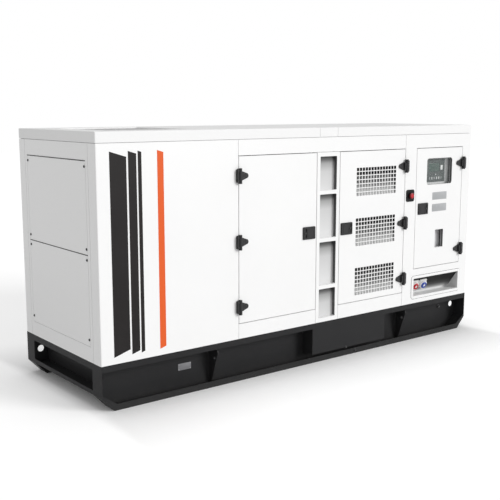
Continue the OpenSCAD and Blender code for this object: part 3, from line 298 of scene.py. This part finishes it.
settle(weld_bead(0.190, 0.0042, 48), charcoal_coat, "skid_charcoal",
       ("gusset_welds", ROOT, [Matrix.Translation((x + sx * GUSSET_T / 2, sy * WEB_Y, GUSSET_Z))
                               for x in GUSSET_X for sx, sy in CORNERS]))

# Canopy walls: folded sheet in white powder coat, seamed edge to edge on the
# skid, with dark sound-proofing board behind every wall. The paint has a fine
# orange peel.
def within(finish, value, low, high):
    above = calc(finish, "GREATER_THAN", value, low)
    return calc(finish, "MULTIPLY", above, calc(finish, "LESS_THAN", value, high))


def all_of(finish, first, *others):
    for other in others:
        first = calc(finish, "MULTIPLY", first, other)
    return first


def white_paint(name, *layers, roughness=0.36, shine=0.5):
    finish, shader = new_finish(name, roughness, shine)
    broad = mottle(finish, 1.7, 3.0)
    colour = over(finish, broad, (0.845, 0.845, 0.843), (0.875, 0.875, 0.873))
    spot = axes(finish)
    face = axes(finish, "Normal")
    for layer in layers:
        colour = layer(finish, spot, face, colour)
    feed(finish, colour, shader, "Base Color")
    feed(finish, span(finish, broad, roughness - 0.04, roughness + 0.04), shader, "Roughness")
    grain(finish, shader, 520.0, 0.0003, 0.15)
    return finish


def board_lining(finish, spot, face, colour):
    inside = all_of(finish, within(finish, spot["X"], -1.7102, 1.7102),
                    within(finish, spot["Y"], -0.5102, 0.5102), within(finish, spot["Z"], 0.3005, 1.6602))
    return over(finish, inside, colour, (0.022, 0.022, 0.024))


wall_white = white_paint("wall_white", board_lining)
dress(wall_white, "front_left_panel", "rear_left_panel", "end_walls", "door_headers", "door_sills",
      "rear_post", "control_left_jamb", "control_right_jamb", "control_header", "control_lower_panel",
      "rear_right_panel")
plain_white = white_paint("plain_white")
dress(plain_white, "end_covers", "rear_left_door", "front_left_door")

# Trim stripes on the plain left panels: cut from self-adhesive film, three
# dark ones beside one orange one, with slanted ends.
def film_stripe(wide, low, high, slant):
    stripe = begin(bpy.ops.mesh.primitive_plane_add, size=1.0)
    stripe.scale = (wide, high - low, 1.0)
    stripe.location = (0.0, (low + high) / 2, 0.0)
    bpy.ops.object.transform_apply()
    for end, sign in ((low, -1.0), (high, 1.0)):
        choose(stripe, lambda face: True)
        bpy.ops.mesh.bisect(plane_co=(0.0, end - sign * slant * wide / 2, 0.0), plane_no=(slant, sign, 0.0),
                            clear_outer=True, use_fill=False)
    choose(stripe, lambda face: True)
    bpy.ops.mesh.extrude_region_move(TRANSFORM_OT_translate={"value": (0.0, 0.0, 0.0004)})
    close_up()
    return stripe


dark_film = coat("dark_film", (0.014, 0.012, 0.012), (0.018, 0.016, 0.016), 0.35, 300.0, 0.0001, 0.1,
                 shine=0.15)
orange_film = coat("orange_film", (0.72, 0.105, 0.020), (0.76, 0.120, 0.024), 0.35, 300.0, 0.0001, 0.1,
                   shine=0.2)
FILM_LOW, FILM_HIGH, FILM_SLANT = 0.342, 1.611, 0.30
DARK_STRIPES = ((-1.599, 0.116), (-1.500, 0.058), (-1.448, 0.026))
for number, (x, wide) in enumerate(DARK_STRIPES):
    settle(film_stripe(wide, FILM_LOW, FILM_HIGH, FILM_SLANT), dark_film, "canopy_white",
           ("dark_stripe_%d" % (number + 1), ROOT, [at(x, FACE_Y, 0.0)]))
settle(film_stripe(0.046, FILM_LOW, FILM_HIGH, FILM_SLANT), orange_film, "canopy_white",
       ("orange_stripe", ROOT, [at(-1.300, FACE_Y, 0.0)]))

# End covers: two sheet covers at each end, each held by four black pan screws near its corners, with a strip
# of black rubber along its top edge that stands in for the shadow line there.
seal_rubber = coat("seal_rubber", (0.010, 0.010, 0.010), (0.014, 0.014, 0.014), 0.72, 400.0, 0.0002)
cover_low, cover_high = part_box("end_covers")
ENDS = ((cover_low.x, LEFT_END), (cover_high.x, RIGHT_END))
COVER_TOPS = (cover_high.z, 0.9775)
SHADOW_STRIP_DROP = 0.0020
shadow_strip_spots = [at(x, 0.0, z - SHADOW_STRIP_DROP, facing) for x, facing in ENDS for z in COVER_TOPS]
settle(rounded_plate(cover_high.y - cover_low.y, 0.0048, 0.0014, 0.0008, 0.0005), seal_rubber,
       "black_fittings", ("end_cover_shadow_strips", ROOT, shadow_strip_spots))
SCREW_ROWS = (1.519, 1.013, 0.945, 0.442)
SCREW_COLUMNS = (-0.409, 0.409)
screw_spots = [at(x, y, z, facing) for x, facing in ENDS for y in SCREW_COLUMNS for z in SCREW_ROWS]
settle(domed_head(0.0085, 0.0045, 0.0020), black_oxide, "black_fittings",
       ("end_cover_screws", ROOT, screw_spots))

# Ladder post: pressed sheet between the doors, with four step pockets whose sunk trays carry painted shade:
# near black under each rung, grey lower down, and dark grey on their right-hand walls.
STEP_PITCH = 0.350
LOWEST_RUNG, TOP_RUNG, TOP_FLOOR = 0.5493, 1.5233, 1.263


def grey_ramp(finish, value, *stops):
    ramp = wire(finish, "ValToRGB", {"Fac": value})
    elements = ramp.color_ramp.elements
    places, levels = zip(*stops)
    elements[0].position = places[0]
    elements[1].position = places[-1]
    for place in places[1:-1]:
        elements.new(place)
    for element, level in zip(elements, levels):
        element.color = (level, level, level, 1.0)
    return ramp.outputs["Color"]


# Painted shade on the pocket trays and their right-hand walls; faces that look up stay white.
def step_pocket_shade(finish, spot, face, colour):
    tray = all_of(finish, within(finish, spot["Y"], -0.5495, -0.5215),
                  within(finish, spot["X"], 0.0480, 0.2120), within(finish, spot["Z"], 0.3305, 1.5235),
                  calc(finish, "LESS_THAN", face["Z"], 0.5))
    steps = calc(finish, "DIVIDE", calc(finish, "SUBTRACT", LOWEST_RUNG, spot["Z"]), STEP_PITCH)
    lower = calc(finish, "MULTIPLY", calc(finish, "FRACT", steps), STEP_PITCH)
    upper = calc(finish, "SUBTRACT", TOP_RUNG, spot["Z"])
    is_top = calc(finish, "GREATER_THAN", spot["Z"], TOP_FLOOR)
    drop = calc(finish, "ADD", calc(finish, "MULTIPLY", upper, is_top),
                calc(finish, "MULTIPLY", lower, calc(finish, "SUBTRACT", 1.0, is_top)))
    fade = grey_ramp(finish, calc(finish, "DIVIDE", drop, STEP_PITCH),
                     (0.02, 0.015), (0.08, 0.10), (0.15, 0.34), (0.32, 0.58), (0.80, 0.70))
    side = calc(finish, "LESS_THAN", face["X"], -0.5)
    painted_pocket_shade = over(finish, side, fade, (0.075, 0.075, 0.076))
    return over(finish, tray, colour, painted_pocket_shade)


dress(white_paint("ladder_white", board_lining, step_pocket_shade), "front_ladder_post")

# Roof: folded trays in a duller white on both sides of a plain strap, and a
# white pressed grille over the air outlet at the left.
roof_white = white_paint("roof_white", board_lining, roughness=0.75, shine=0.3)
dress(roof_white, "roof_panels", "roof_strap", "roof_outlet_grille")

# Service doors: sheet trays with a rubber bulb round the rim and embossed sound-proofing boards pinned into
# the back. The right door and its twin at the rear have sloping baffles behind their grilles, with painted
# shade on the baffles, dark at the top of each grille and light at its foot, and the walls of the grille
# holes painted near black.
GRILLE_FOOT, GRILLE_PITCH, GRILLE_TALL = 0.4525, 0.380, 0.218


# Painted shade on the baffles: light at the foot of each grille row, near black at its top.
def baffle_shade(finish, spot, face, colour):
    rows = calc(finish, "DIVIDE", calc(finish, "SUBTRACT", spot["Z"], GRILLE_FOOT), GRILLE_PITCH)
    rise = calc(finish, "MULTIPLY", calc(finish, "FRACT", rows), GRILLE_PITCH / GRILLE_TALL)
    outward = calc(finish, "MULTIPLY", face["Y"], spot["Y"])
    sunk = all_of(finish, calc(finish, "LESS_THAN", calc(finish, "ABSOLUTE", spot["Y"]), 0.5455),
                  within(finish, spot["X"], 0.4130, 0.8480), calc(finish, "LESS_THAN", rise, 1.0),
                  calc(finish, "GREATER_THAN", outward, -0.02))
    fade = grey_ramp(finish, rise, (0.0, 0.60), (0.18, 0.42), (0.34, 0.17), (0.50, 0.040), (0.66, 0.010),
                     (0.80, 0.003))
    return over(finish, sunk, colour, fade)


# Painted shade: the walls of the grille holes are painted near black.
def hole_wall_shade(finish, spot, face, colour):
    wall = calc(finish, "LESS_THAN", calc(finish, "ABSOLUTE", face["Y"]), 0.5)
    return over(finish, wall, colour, (0.030, 0.030, 0.031))


dress(white_paint("baffle_white", baffle_shade), "front_right_door", "rear_right_door")
dress(white_paint("grille_white", hole_wall_shade), "right_door_grilles", "rear_door_grilles")


def rim_frame(width, tall, band, thick, edge):
    rim = begin(bpy.ops.mesh.primitive_plane_add, size=1.0)
    rim.scale = (width, tall, 1.0)
    bpy.ops.object.transform_apply(scale=True)
    choose(rim, lambda vert: True, "VERT")
    bpy.ops.mesh.bevel(offset=band, segments=4, affect="VERTICES")
    choose(rim, lambda face: True)
    bpy.ops.mesh.inset(thickness=band)
    bpy.ops.mesh.delete(type="FACE")
    choose(rim, lambda face: True)
    bpy.ops.mesh.extrude_region_move(TRANSFORM_OT_translate={"value": (0.0, 0.0, thick)})
    choose(rim, lambda part: stand_up(part, thick) and not part.is_wire
           and any(abs(face.normal.z) < 0.5 for face in part.link_faces), "EDGE")
    bpy.ops.mesh.bevel(offset=edge, segments=4, affect="EDGES")
    close_up(60.0)
    return rim


def embossed_board(width, tall, thick, cell):
    board = begin(bpy.ops.mesh.primitive_grid_add, x_subdivisions=max(1, round(width / cell)),
                  y_subdivisions=max(1, round(tall / cell)), size=1.0)
    board.scale = (width, tall, 1.0)
    bpy.ops.object.transform_apply(scale=True)
    choose(board, lambda face: True)
    bpy.ops.mesh.extrude_region_move(TRANSFORM_OT_translate={"value": (0.0, 0.0, thick * 0.7)})
    choose(board, lambda face: face.calc_center_median().z > thick * 0.69)
    bpy.ops.mesh.inset(thickness=cell * 0.09, use_individual=True)
    bpy.ops.mesh.inset(thickness=cell * 0.08, depth=thick * 0.28, use_individual=True)
    close_up(25.0)
    return board


lining_board = coat("lining_board", (0.020, 0.020, 0.022), (0.030, 0.030, 0.032), 0.92, 900.0, 0.0006, 0.6,
                    25.0)
LEFT_DOOR, RIGHT_DOOR, CONTROL_DOOR = "left_service_door", "right_service_door", "control_panel_door"
BACK_Y = -0.510
BOARD_Y, BOARD_T, BOARD_CELL = -0.5240, 0.012, 0.045
BULB = {"band": 0.012, "thick": 0.006, "edge": 0.005}
LEFT_X, RIGHT_X, DOOR_Z = -0.3365, 0.5965, 0.9795


def behind(x, y, z):
    return at(x, y, z, REAR)


settle(rim_frame(0.685, 1.127, **BULB), seal_rubber, "black_fittings",
       ("left_door_seal", LEFT_DOOR, [behind(LEFT_X, BACK_Y, DOOR_Z)]),
       ("right_door_seal", RIGHT_DOOR, [behind(RIGHT_X, BACK_Y, DOOR_Z)]),
       ("rear_door_seals", ROOT, [at(LEFT_X, -BACK_Y, DOOR_Z), at(RIGHT_X, -BACK_Y, DOOR_Z)]))
settle(embossed_board(0.637, 1.079, BOARD_T, BOARD_CELL), lining_board, "black_fittings",
       ("left_door_board", LEFT_DOOR, [behind(LEFT_X, BOARD_Y, DOOR_Z)]),
       ("rear_left_door_board", ROOT, [at(LEFT_X, -BOARD_Y, DOOR_Z)]))


def board_set(name, body, y, facing, panes):
    boards = []
    for x0, x1, z0, z1 in panes:
        board = embossed_board(x1 - x0, z1 - z0, BOARD_T, BOARD_CELL)
        board.data.transform(at((x0 + x1) / 2, y, (z0 + z1) / 2, facing))
        boards.append(board)
    whole = boards[0]
    for board in boards[1:]:
        whole = merge(whole, board)
    settle(whole, lining_board, "black_fittings", (name, body, [Matrix()]))


BOARD_LOW, BOARD_HIGH = 0.440, 1.519
grille_boards = [(0.278, 0.400, BOARD_LOW, BOARD_HIGH), (0.861, 0.915, BOARD_LOW, BOARD_HIGH)]
grille_boards += [(0.402, 0.859, 0.684 + GRILLE_PITCH * row, min(0.819 + GRILLE_PITCH * row, BOARD_HIGH))
                  for row in range(3)]
board_set("right_door_boards", RIGHT_DOOR, BOARD_Y, REAR, grille_boards)
board_set("rear_right_door_boards", ROOT, -BOARD_Y, FRONT, grille_boards)

# Hinges and latches: moulded black fittings. Each hinge is held by countersunk
# screws, three in the leaf and one in each arm of the bar, and each latch has
# a dark lock face with a key slot.
black_moulding = coat("black_moulding", (0.023, 0.023, 0.024), (0.029, 0.029, 0.030), 0.5, 1500.0, 0.0002,
                      shine=0.2)
dress(black_moulding, "rear_door_fittings", "door_hinge_bars", "left_door_hinge_leaves", "left_door_latch",
      "right_door_hinge_leaves", "right_door_latch", "control_door_hinge_leaves", "control_door_latch")
DOOR_HINGES = (0.5240, 0.9720, 1.4200)
CONTROL_HINGES = (0.7010, 1.4200)
LEFT_AXIS, RIGHT_AXIS, CONTROL_AXIS = -0.6885, 0.9485, 1.6455
LEAF_Y, BAR_Y = -0.558, -0.572
LEAF_SCREWS = ((0.061, 0.0), (0.036, 0.015), (0.036, -0.015))
BAR_SCREWS = ((-0.017, 0.034), (-0.017, -0.034))


def hinge_spots(screws, axis_x, way, levels, y, facing=FRONT):
    return [at(axis_x + way * dx, y, z + dz, facing) for z in levels for dx, dz in screws]


fixed_screws = hinge_spots(BAR_SCREWS, CONTROL_AXIS, -1, CONTROL_HINGES, BAR_Y)
for axis_x, way in ((LEFT_AXIS, 1), (RIGHT_AXIS, -1)):
    fixed_screws += hinge_spots(BAR_SCREWS, axis_x, way, DOOR_HINGES, BAR_Y)
    fixed_screws += hinge_spots(BAR_SCREWS, axis_x, way, DOOR_HINGES, -BAR_Y, REAR)
    fixed_screws += hinge_spots(LEAF_SCREWS, axis_x, way, DOOR_HINGES, -LEAF_Y, REAR)
settle(domed_head(0.0052, 0.0016, 0.0010), black_oxide, "black_fittings",
       ("left_door_hinge_screws", LEFT_DOOR, hinge_spots(LEAF_SCREWS, LEFT_AXIS, 1, DOOR_HINGES, LEAF_Y)),
       ("right_door_hinge_screws", RIGHT_DOOR, hinge_spots(LEAF_SCREWS, RIGHT_AXIS, -1, DOOR_HINGES, LEAF_Y)),
       ("control_door_hinge_screws", CONTROL_DOOR,
        hinge_spots(LEAF_SCREWS, CONTROL_AXIS, -1, CONTROL_HINGES, LEAF_Y)),
       ("hinge_bar_screws", ROOT, fixed_screws))


def lock_face(radius, tall):
    face_disc = domed_head(radius, tall)
    bpy.context.view_layer.objects.active = face_disc
    choose(face_disc, lambda face: face.normal.z > 0.9 and face.calc_center_median().z > tall - 1e-6)
    bpy.ops.mesh.inset(thickness=radius * 0.34)
    bpy.ops.transform.resize(value=(0.28, 1.0, 1.0))
    bpy.ops.mesh.extrude_region_move(TRANSFORM_OT_translate={"value": (0.0, 0.0, -tall * 0.7)})
    close_up()
    return face_disc


LATCH_Y = -0.559
LEFT_LOCK_X, RIGHT_LOCK_X, CONTROL_LOCK_X = -0.093, 0.353, 1.205
CONTROL_Z = 1.068
settle(lock_face(0.0068, 0.0012), black_oxide, "black_fittings",
       ("left_door_lock_face", LEFT_DOOR, [at(LEFT_LOCK_X, LATCH_Y, DOOR_Z)]),
       ("right_door_lock_face", RIGHT_DOOR, [at(RIGHT_LOCK_X, LATCH_Y, DOOR_Z)]),
       ("control_door_lock_face", CONTROL_DOOR, [at(CONTROL_LOCK_X, LATCH_Y, CONTROL_Z)]),
       ("rear_door_lock_faces", ROOT, [at(x, -LATCH_Y, DOOR_Z, REAR) for x in (LEFT_LOCK_X, RIGHT_LOCK_X)]))

# Control door: a sheet tray with a rounded window and a breaker cut-out, a
# clear pane clamped behind a rubber gasket, two blank plates, and boards and a
# bulb seal on its back.
# Painted shade on the sides of the window and the breaker cut-out that face left or down: dark near the front
# face, mid grey deeper in.
def opening_side_shade(finish, spot, face, colour):
    window = all_of(finish, within(finish, spot["X"], 1.2070, 1.5170),
                    within(finish, spot["Z"], 1.2555, 1.4695))
    cut_out = all_of(finish, within(finish, spot["X"], 1.3295, 1.4325),
                     within(finish, spot["Z"], 0.7345, 0.8835))
    turned = calc(finish, "LESS_THAN", calc(finish, "MINIMUM", face["X"], face["Z"]), -0.3)
    opening = calc(finish, "MAXIMUM", window, cut_out)
    sunk = all_of(finish, within(finish, spot["Y"], -0.5495, -0.5095), turned, opening)
    deep = calc(finish, "GREATER_THAN", spot["Y"], -0.530)
    return over(finish, sunk, colour, over(finish, deep, (0.100, 0.100, 0.101), (0.50, 0.50, 0.51)))


dress(white_paint("window_white", opening_side_shade), "control_door")
window_pane, shader = new_finish("window_pane", 0.05, 0.2)
haze = mottle(window_pane, 6.0, 3.0)
feed(window_pane, over(window_pane, haze, (0.50, 0.56, 0.56), (0.58, 0.63, 0.62)), shader, "Base Color")
shader.inputs["Alpha"].default_value = 0.06
dress(window_pane, "control_window")
PANE_BACK_Y = -0.519
CONTROL_X = 1.364
settle(rim_frame(0.331, 0.235, 0.011, 0.004, 0.0035), seal_rubber, "black_fittings",
       ("window_gasket", CONTROL_DOOR, [behind(1.362, PANE_BACK_Y, 1.3625)]))
settle(rim_frame(0.544, 0.950, **BULB), seal_rubber, "black_fittings",
       ("control_door_seal", CONTROL_DOOR, [behind(CONTROL_X, BACK_Y, CONTROL_Z)]))
board_set("control_door_boards", CONTROL_DOOR, BOARD_Y, REAR,
          [(1.116, 1.612, 0.885, 1.242), (1.116, 1.328, 0.617, 0.883), (1.434, 1.612, 0.617, 0.883),
           (1.330, 1.432, 0.617, 0.733), (1.116, 1.193, 1.244, 1.519), (1.531, 1.612, 1.244, 1.519),
           (1.195, 1.529, 1.483, 1.519)])
plate_grey = coat("plate_grey", (0.36, 0.37, 0.38), (0.42, 0.43, 0.44), 0.38, 700.0, 0.0001, 0.2, 40.0)
DOOR_PLATE_X = 1.371
DOOR_PLATE_ROWS = (1.1625, 1.0665)
settle(rounded_plate(0.176, 0.062, PLATE_T, 0.004, 0.0003), plate_grey, "panel_grey",
       ("blank_door_plates", CONTROL_DOOR, [at(DOOR_PLATE_X, FACE_Y, z) for z in DOOR_PLATE_ROWS]))
settle(domed_head(0.0026, 0.0014), zinc_plate, "panel_grey",
       ("door_plate_rivets", CONTROL_DOOR, [at(DOOR_PLATE_X + sx * 0.082, FACE_Y - PLATE_T, z + sz * 0.025)
                                            for z in DOOR_PLATE_ROWS for sx, sz in CORNERS]))

# Control cabinet: a pale sheet box behind the door with the instrument panel,
# a moulded breaker and a dark controller with a display, a pale key beside it,
# a row of upright keys, three of them pale, and a lamp.
pale_coat = coat("pale_coat", (0.80, 0.80, 0.80), (0.84, 0.84, 0.84), 0.4, 600.0, 0.0003)
dress(pale_coat, "control_cabinet", "instrument_panel")
# The breaker carries painted shade: its face goes darker towards the top.
breaker_moulding, shader = new_finish("breaker_moulding", 0.45)
clouded = over(breaker_moulding, mottle(breaker_moulding, 9.0), (0.68, 0.68, 0.69), (0.72, 0.72, 0.73))
breaker_top_shade = span(breaker_moulding, axes(breaker_moulding)["Z"], 0.0, 1.0, 0.745, 0.900)
shaded = over(breaker_moulding, breaker_top_shade, clouded, (0.46, 0.46, 0.47))
feed(breaker_moulding, shaded, shader, "Base Color")
grain(breaker_moulding, shader, 1200.0, 0.0002, 0.25)
dress(breaker_moulding, "breaker")
controller_case = coat("controller_case", (0.026, 0.036, 0.034), (0.034, 0.044, 0.042), 0.42, 1500.0, 0.0002)
dress(controller_case, "controller")
CASE_Y = -0.504
display_glass = coat("display_glass", (0.044, 0.078, 0.062), (0.052, 0.088, 0.072), 0.18, 200.0, 0.0001, 0.05)
settle(rounded_plate(0.125, 0.069, 0.0022, 0.003, 0.0005), display_glass, "controller_dark",
       ("controller_display", ROOT, [at(1.351, CASE_Y + 0.003, 1.3905)]))
pale_key = coat("pale_key", (0.74, 0.75, 0.74), (0.80, 0.81, 0.80), 0.4, 1200.0, 0.0002)
dim_key = coat("dim_key", (0.34, 0.35, 0.35), (0.38, 0.39, 0.39), 0.4, 1200.0, 0.0002)
settle(rounded_plate(0.0265, 0.0385, 0.0030, 0.005, 0.0008), pale_key, "controller_dark",
       ("controller_mode_key", ROOT, [at(1.4383, CASE_Y, 1.3868)]))
FIRST_KEY_X, KEY_PITCH, KEY_ROW_Z = 1.294, 0.0285, 1.303
for name, finish, steps in (("controller_pale_keys", pale_key, (1, 3, 4)),
                            ("controller_dim_keys", dim_key, (0, 2, 5))):
    settle(rounded_plate(0.0095, 0.0200, 0.0025, 0.003, 0.0008), finish, "controller_dark",
           (name, ROOT, [at(FIRST_KEY_X + KEY_PITCH * step, CASE_Y, KEY_ROW_Z) for step in steps]))
settle(domed_head(0.0050, 0.0025), pale_key, "controller_dark",
       ("controller_lamp", ROOT, [at(1.3686, CASE_Y, 1.3329)]))

# Socket recess: a white tray whose sloping back carries painted shade, going dark towards the top, with light
# grey painted shade on its side walls, and a sheet flange round its mouth on a thin black rubber strip that
# stands in for the flange's shadow line. Two white sockets are screwed to the back, with a red and a blue
# screw ring, each round a pale cap.
RECESS_LOW, RECESS_HIGH = 0.358, 0.502
RECESS_Z = (RECESS_LOW + RECESS_HIGH) / 2
SHADOW_STRIP_T = 0.0008


# Painted shade: the recess's sloping back goes from light at the bottom to near black at the top, and its
# side walls are painted light grey.
def recess_shade(finish, spot, face, colour):
    sunk = all_of(finish, within(finish, spot["Y"], -0.5490, -0.4300),
                  within(finish, spot["X"], 1.0825, 1.6455), within(finish, spot["Z"], 0.3582, 0.5035),
                  calc(finish, "LESS_THAN", face["Z"], 0.5))
    rise = span(finish, spot["Z"], 0.0, 1.0, RECESS_LOW, RECESS_HIGH)
    fade = grey_ramp(finish, rise, (0.06, 0.70), (0.20, 0.27), (0.36, 0.065), (0.60, 0.015), (0.92, 0.004))
    side = calc(finish, "GREATER_THAN", calc(finish, "ABSOLUTE", face["X"]), 0.5)
    painted_recess_shade = over(finish, side, fade, (0.74, 0.74, 0.74))
    return over(finish, sunk, colour, painted_recess_shade)


dress(white_paint("recess_white", recess_shade, shine=0.1), "socket_recess")
# A thin black rubber strip, a little wider than the flange, stands in for the shadow line round the flange.
settle(rim_frame(0.612, 0.193, 0.0245, SHADOW_STRIP_T, 0.0003), seal_rubber, "black_fittings",
       ("recess_shadow_strip", ROOT, [at(CONTROL_X, FACE_Y, RECESS_Z)]))
settle(rim_frame(0.607, 0.188, 0.0220, 0.0016, 0.0005), plain_white, "canopy_white",
       ("recess_flange", ROOT, [at(CONTROL_X, FACE_Y - SHADOW_STRIP_T, RECESS_Z)]))
white_moulding = coat("white_moulding", (0.78, 0.78, 0.77), (0.82, 0.82, 0.81), 0.35, 1500.0, 0.0002)
dress(white_moulding, "socket_bases")
red_moulding = coat("red_moulding", (0.44, 0.010, 0.018), (0.50, 0.014, 0.022), 0.32, 1500.0, 0.0002,
                    shine=0.3)
dress(red_moulding, "red_socket_lid")
blue_moulding = coat("blue_moulding", (0.02, 0.06, 0.36), (0.03, 0.075, 0.40), 0.32, 1500.0, 0.0002)
dress(blue_moulding, "blue_socket_lid")
SLOPE = Matrix.Rotation(math.radians(125.46), 4, "X")
LEAN = Matrix.Rotation(math.radians(-12.0), 4, "X")
SOCKETS_X = (1.136, 1.234)
SOCKET_Y, SOCKET_Z = -0.50223, 0.44335


def on_slope(x):
    return at(x, SOCKET_Y, SOCKET_Z, SLOPE)


CAP_SEAT = Matrix.Translation((0.0, 0.0, 0.0360))
settle(domed_head(0.0115, 0.0045, 0.0016, 32), white_moulding, "socket_white",
       ("socket_caps", ROOT, [on_slope(x) @ LEAN @ CAP_SEAT for x in SOCKETS_X]))
SCREW_OUT, SCREW_SEAT = 0.037, 0.0082
settle(domed_head(0.0032, 0.0020, 0.0010), zinc_plate, "socket_white",
       ("socket_screws", ROOT, [on_slope(x) @ Matrix.Translation((sx * SCREW_OUT, sy * SCREW_OUT, SCREW_SEAT))
                                for x in SOCKETS_X for sx, sy in CORNERS]))

# Emergency stop: a black moulded plate with four screws round the collar that
# the red mushroom button runs in.
stop_black = coat("stop_black", (0.006, 0.006, 0.007), (0.009, 0.009, 0.010), 0.5, 1500.0, 0.0002, shine=0.12)
dress(stop_black, "stop_housing")
STOP_X, STOP_FACE_Y, STOP_Z = 1.0125, -0.556, 1.183
button_red, shader = new_finish("button_red", 0.32, 0.25)
spot = axes(button_red)
out_x = calc(button_red, "SUBTRACT", spot["X"], STOP_X)
out_z = calc(button_red, "SUBTRACT", spot["Z"], STOP_Z)
reach = calc(button_red, "SQRT", calc(button_red, "ADD", calc(button_red, "MULTIPLY", out_x, out_x),
                                      calc(button_red, "MULTIPLY", out_z, out_z)))
# Painted shade: the button's red goes darker towards its rim.
crown = over(button_red, mottle(button_red, 60.0), (0.50, 0.020, 0.030), (0.56, 0.026, 0.036))
rim_shaded_red = over(button_red, span(button_red, reach, 0.0, 1.0, 0.010, 0.021), crown, (0.17, 0.005, 0.010))
feed(button_red, rim_shaded_red, shader, "Base Color")
grain(button_red, shader, 1500.0, 0.0002, 0.25)
dress(button_red, "stop_button")
settle(domed_head(0.0042, 0.0020, 0.0012), black_oxide, "stop_plate",
       ("stop_plate_screws", ROOT, [at(STOP_X + sx * 0.034, STOP_FACE_Y, STOP_Z + sz * 0.037)
                                    for sx, sz in CORNERS]))

# Machinery behind the doors: an enamelled engine and alternator and a black
# radiator on rubber mounts.
engine_enamel = coat("engine_enamel", (0.07, 0.085, 0.095), (0.09, 0.11, 0.12), 0.45, 400.0, 0.0004)
dress(engine_enamel, "engine")
alternator_enamel = coat("alternator_enamel", (0.13, 0.14, 0.15), (0.16, 0.17, 0.18), 0.45, 400.0, 0.0004)
dress(alternator_enamel, "alternator")
radiator_black = coat("radiator_black", (0.016, 0.016, 0.017), (0.022, 0.022, 0.023), 0.55, 500.0, 0.0003)
dress(radiator_black, "radiator")

# Floor and light: a pale studio floor under a soft white sky, with one broad
# lamp from the right front and the camera where the photograph was taken.
floor = begin(bpy.ops.mesh.primitive_plane_add, size=60.0)
floor.name = "studio_floor"
floor_paint = bpy.data.materials.new("floor_paint")
floor_paint.use_nodes = True
floor_paint.node_tree.nodes.remove(floor_paint.node_tree.nodes["Principled BSDF"])


def seen_rays(tree):
    path = tree.nodes.new("ShaderNodeLightPath")
    total = path.outputs["Is Camera Ray"]
    for name in ("Is Glossy Ray", "Is Transmission Ray"):
        either = tree.nodes.new("ShaderNodeMath")
        either.operation = "MAXIMUM"
        tree.links.new(total, either.inputs[0])
        tree.links.new(path.outputs[name], either.inputs[1])
        total = either.outputs[0]
    return total


seen = seen_rays(floor_paint.node_tree)
ground = axes(floor_paint)
# Painted shadow: the floor's glow is weaker close to the object, falling off sooner past its ends, so the
# floor darkens round the skid.
SHADE_END, SHADE_SIDE, SHADE_REACH, END_FALL = 1.72, 0.55, 0.75, 7.0
past_end = calc(floor_paint, "SUBTRACT", calc(floor_paint, "ABSOLUTE", ground["X"]), SHADE_END)
past_side = calc(floor_paint, "SUBTRACT", calc(floor_paint, "ABSOLUTE", ground["Y"]), SHADE_SIDE)
away = calc(floor_paint, "MAXIMUM", calc(floor_paint, "MULTIPLY", past_end, END_FALL), past_side)
glow_with_painted_shadow = calc(floor_paint, "MULTIPLY", seen, span(floor_paint, away, 0.03, 0.26, 0.0, SHADE_REACH))
matt = wire(floor_paint, "BsdfDiffuse", {"Color": span(floor_paint, seen, 0.80, 0.97, 0.0, 1.0)})
glow = wire(floor_paint, "Emission", {"Strength": glow_with_painted_shadow})
both = wire(floor_paint, "AddShader", {0: matt.outputs["BSDF"], 1: glow.outputs["Emission"]})
feed(floor_paint, both.outputs["Shader"], floor_paint.node_tree.nodes["Material Output"], "Surface")
floor.data.materials.append(floor_paint)

world = bpy.data.worlds.new("studio_sky")
bpy.context.scene.world = world
world.use_nodes = True
sky = world.node_tree.nodes["Background"]
sky.inputs["Color"].default_value = (1.0, 1.0, 1.0, 1.0)
level = world.node_tree.nodes.new("ShaderNodeMapRange")
level.inputs["To Min"].default_value = 0.62
level.inputs["To Max"].default_value = 1.0
world.node_tree.links.new(seen_rays(world.node_tree), level.inputs["Value"])
world.node_tree.links.new(level.outputs["Result"], sky.inputs["Strength"])

lamp = bpy.data.lights.new("front_lamp", "SUN")
lamp.energy = 1.84
lamp.angle = math.radians(25.0)
lamp_object = bpy.data.objects.new("front_lamp", lamp)
bpy.context.collection.objects.link(lamp_object)
lamp_object.rotation_euler = Vector((-0.53, 0.79, -0.30)).to_track_quat("-Z", "Y").to_euler()

camera = bpy.data.cameras.new("camera")
camera.lens = 61.51
camera.sensor_width = 36.0
camera_object = bpy.data.objects.new("camera", camera)
bpy.context.collection.objects.link(camera_object)
camera_object.location = (-4.1343, -5.0868, 1.8620)
aim = Vector((-0.1644, 0.0, 0.7949)) - camera_object.location
camera_object.rotation_euler = aim.to_track_quat("-Z", "Y").to_euler()
bpy.context.scene.camera = camera_object
bpy.context.scene.view_settings.view_transform = "Standard"
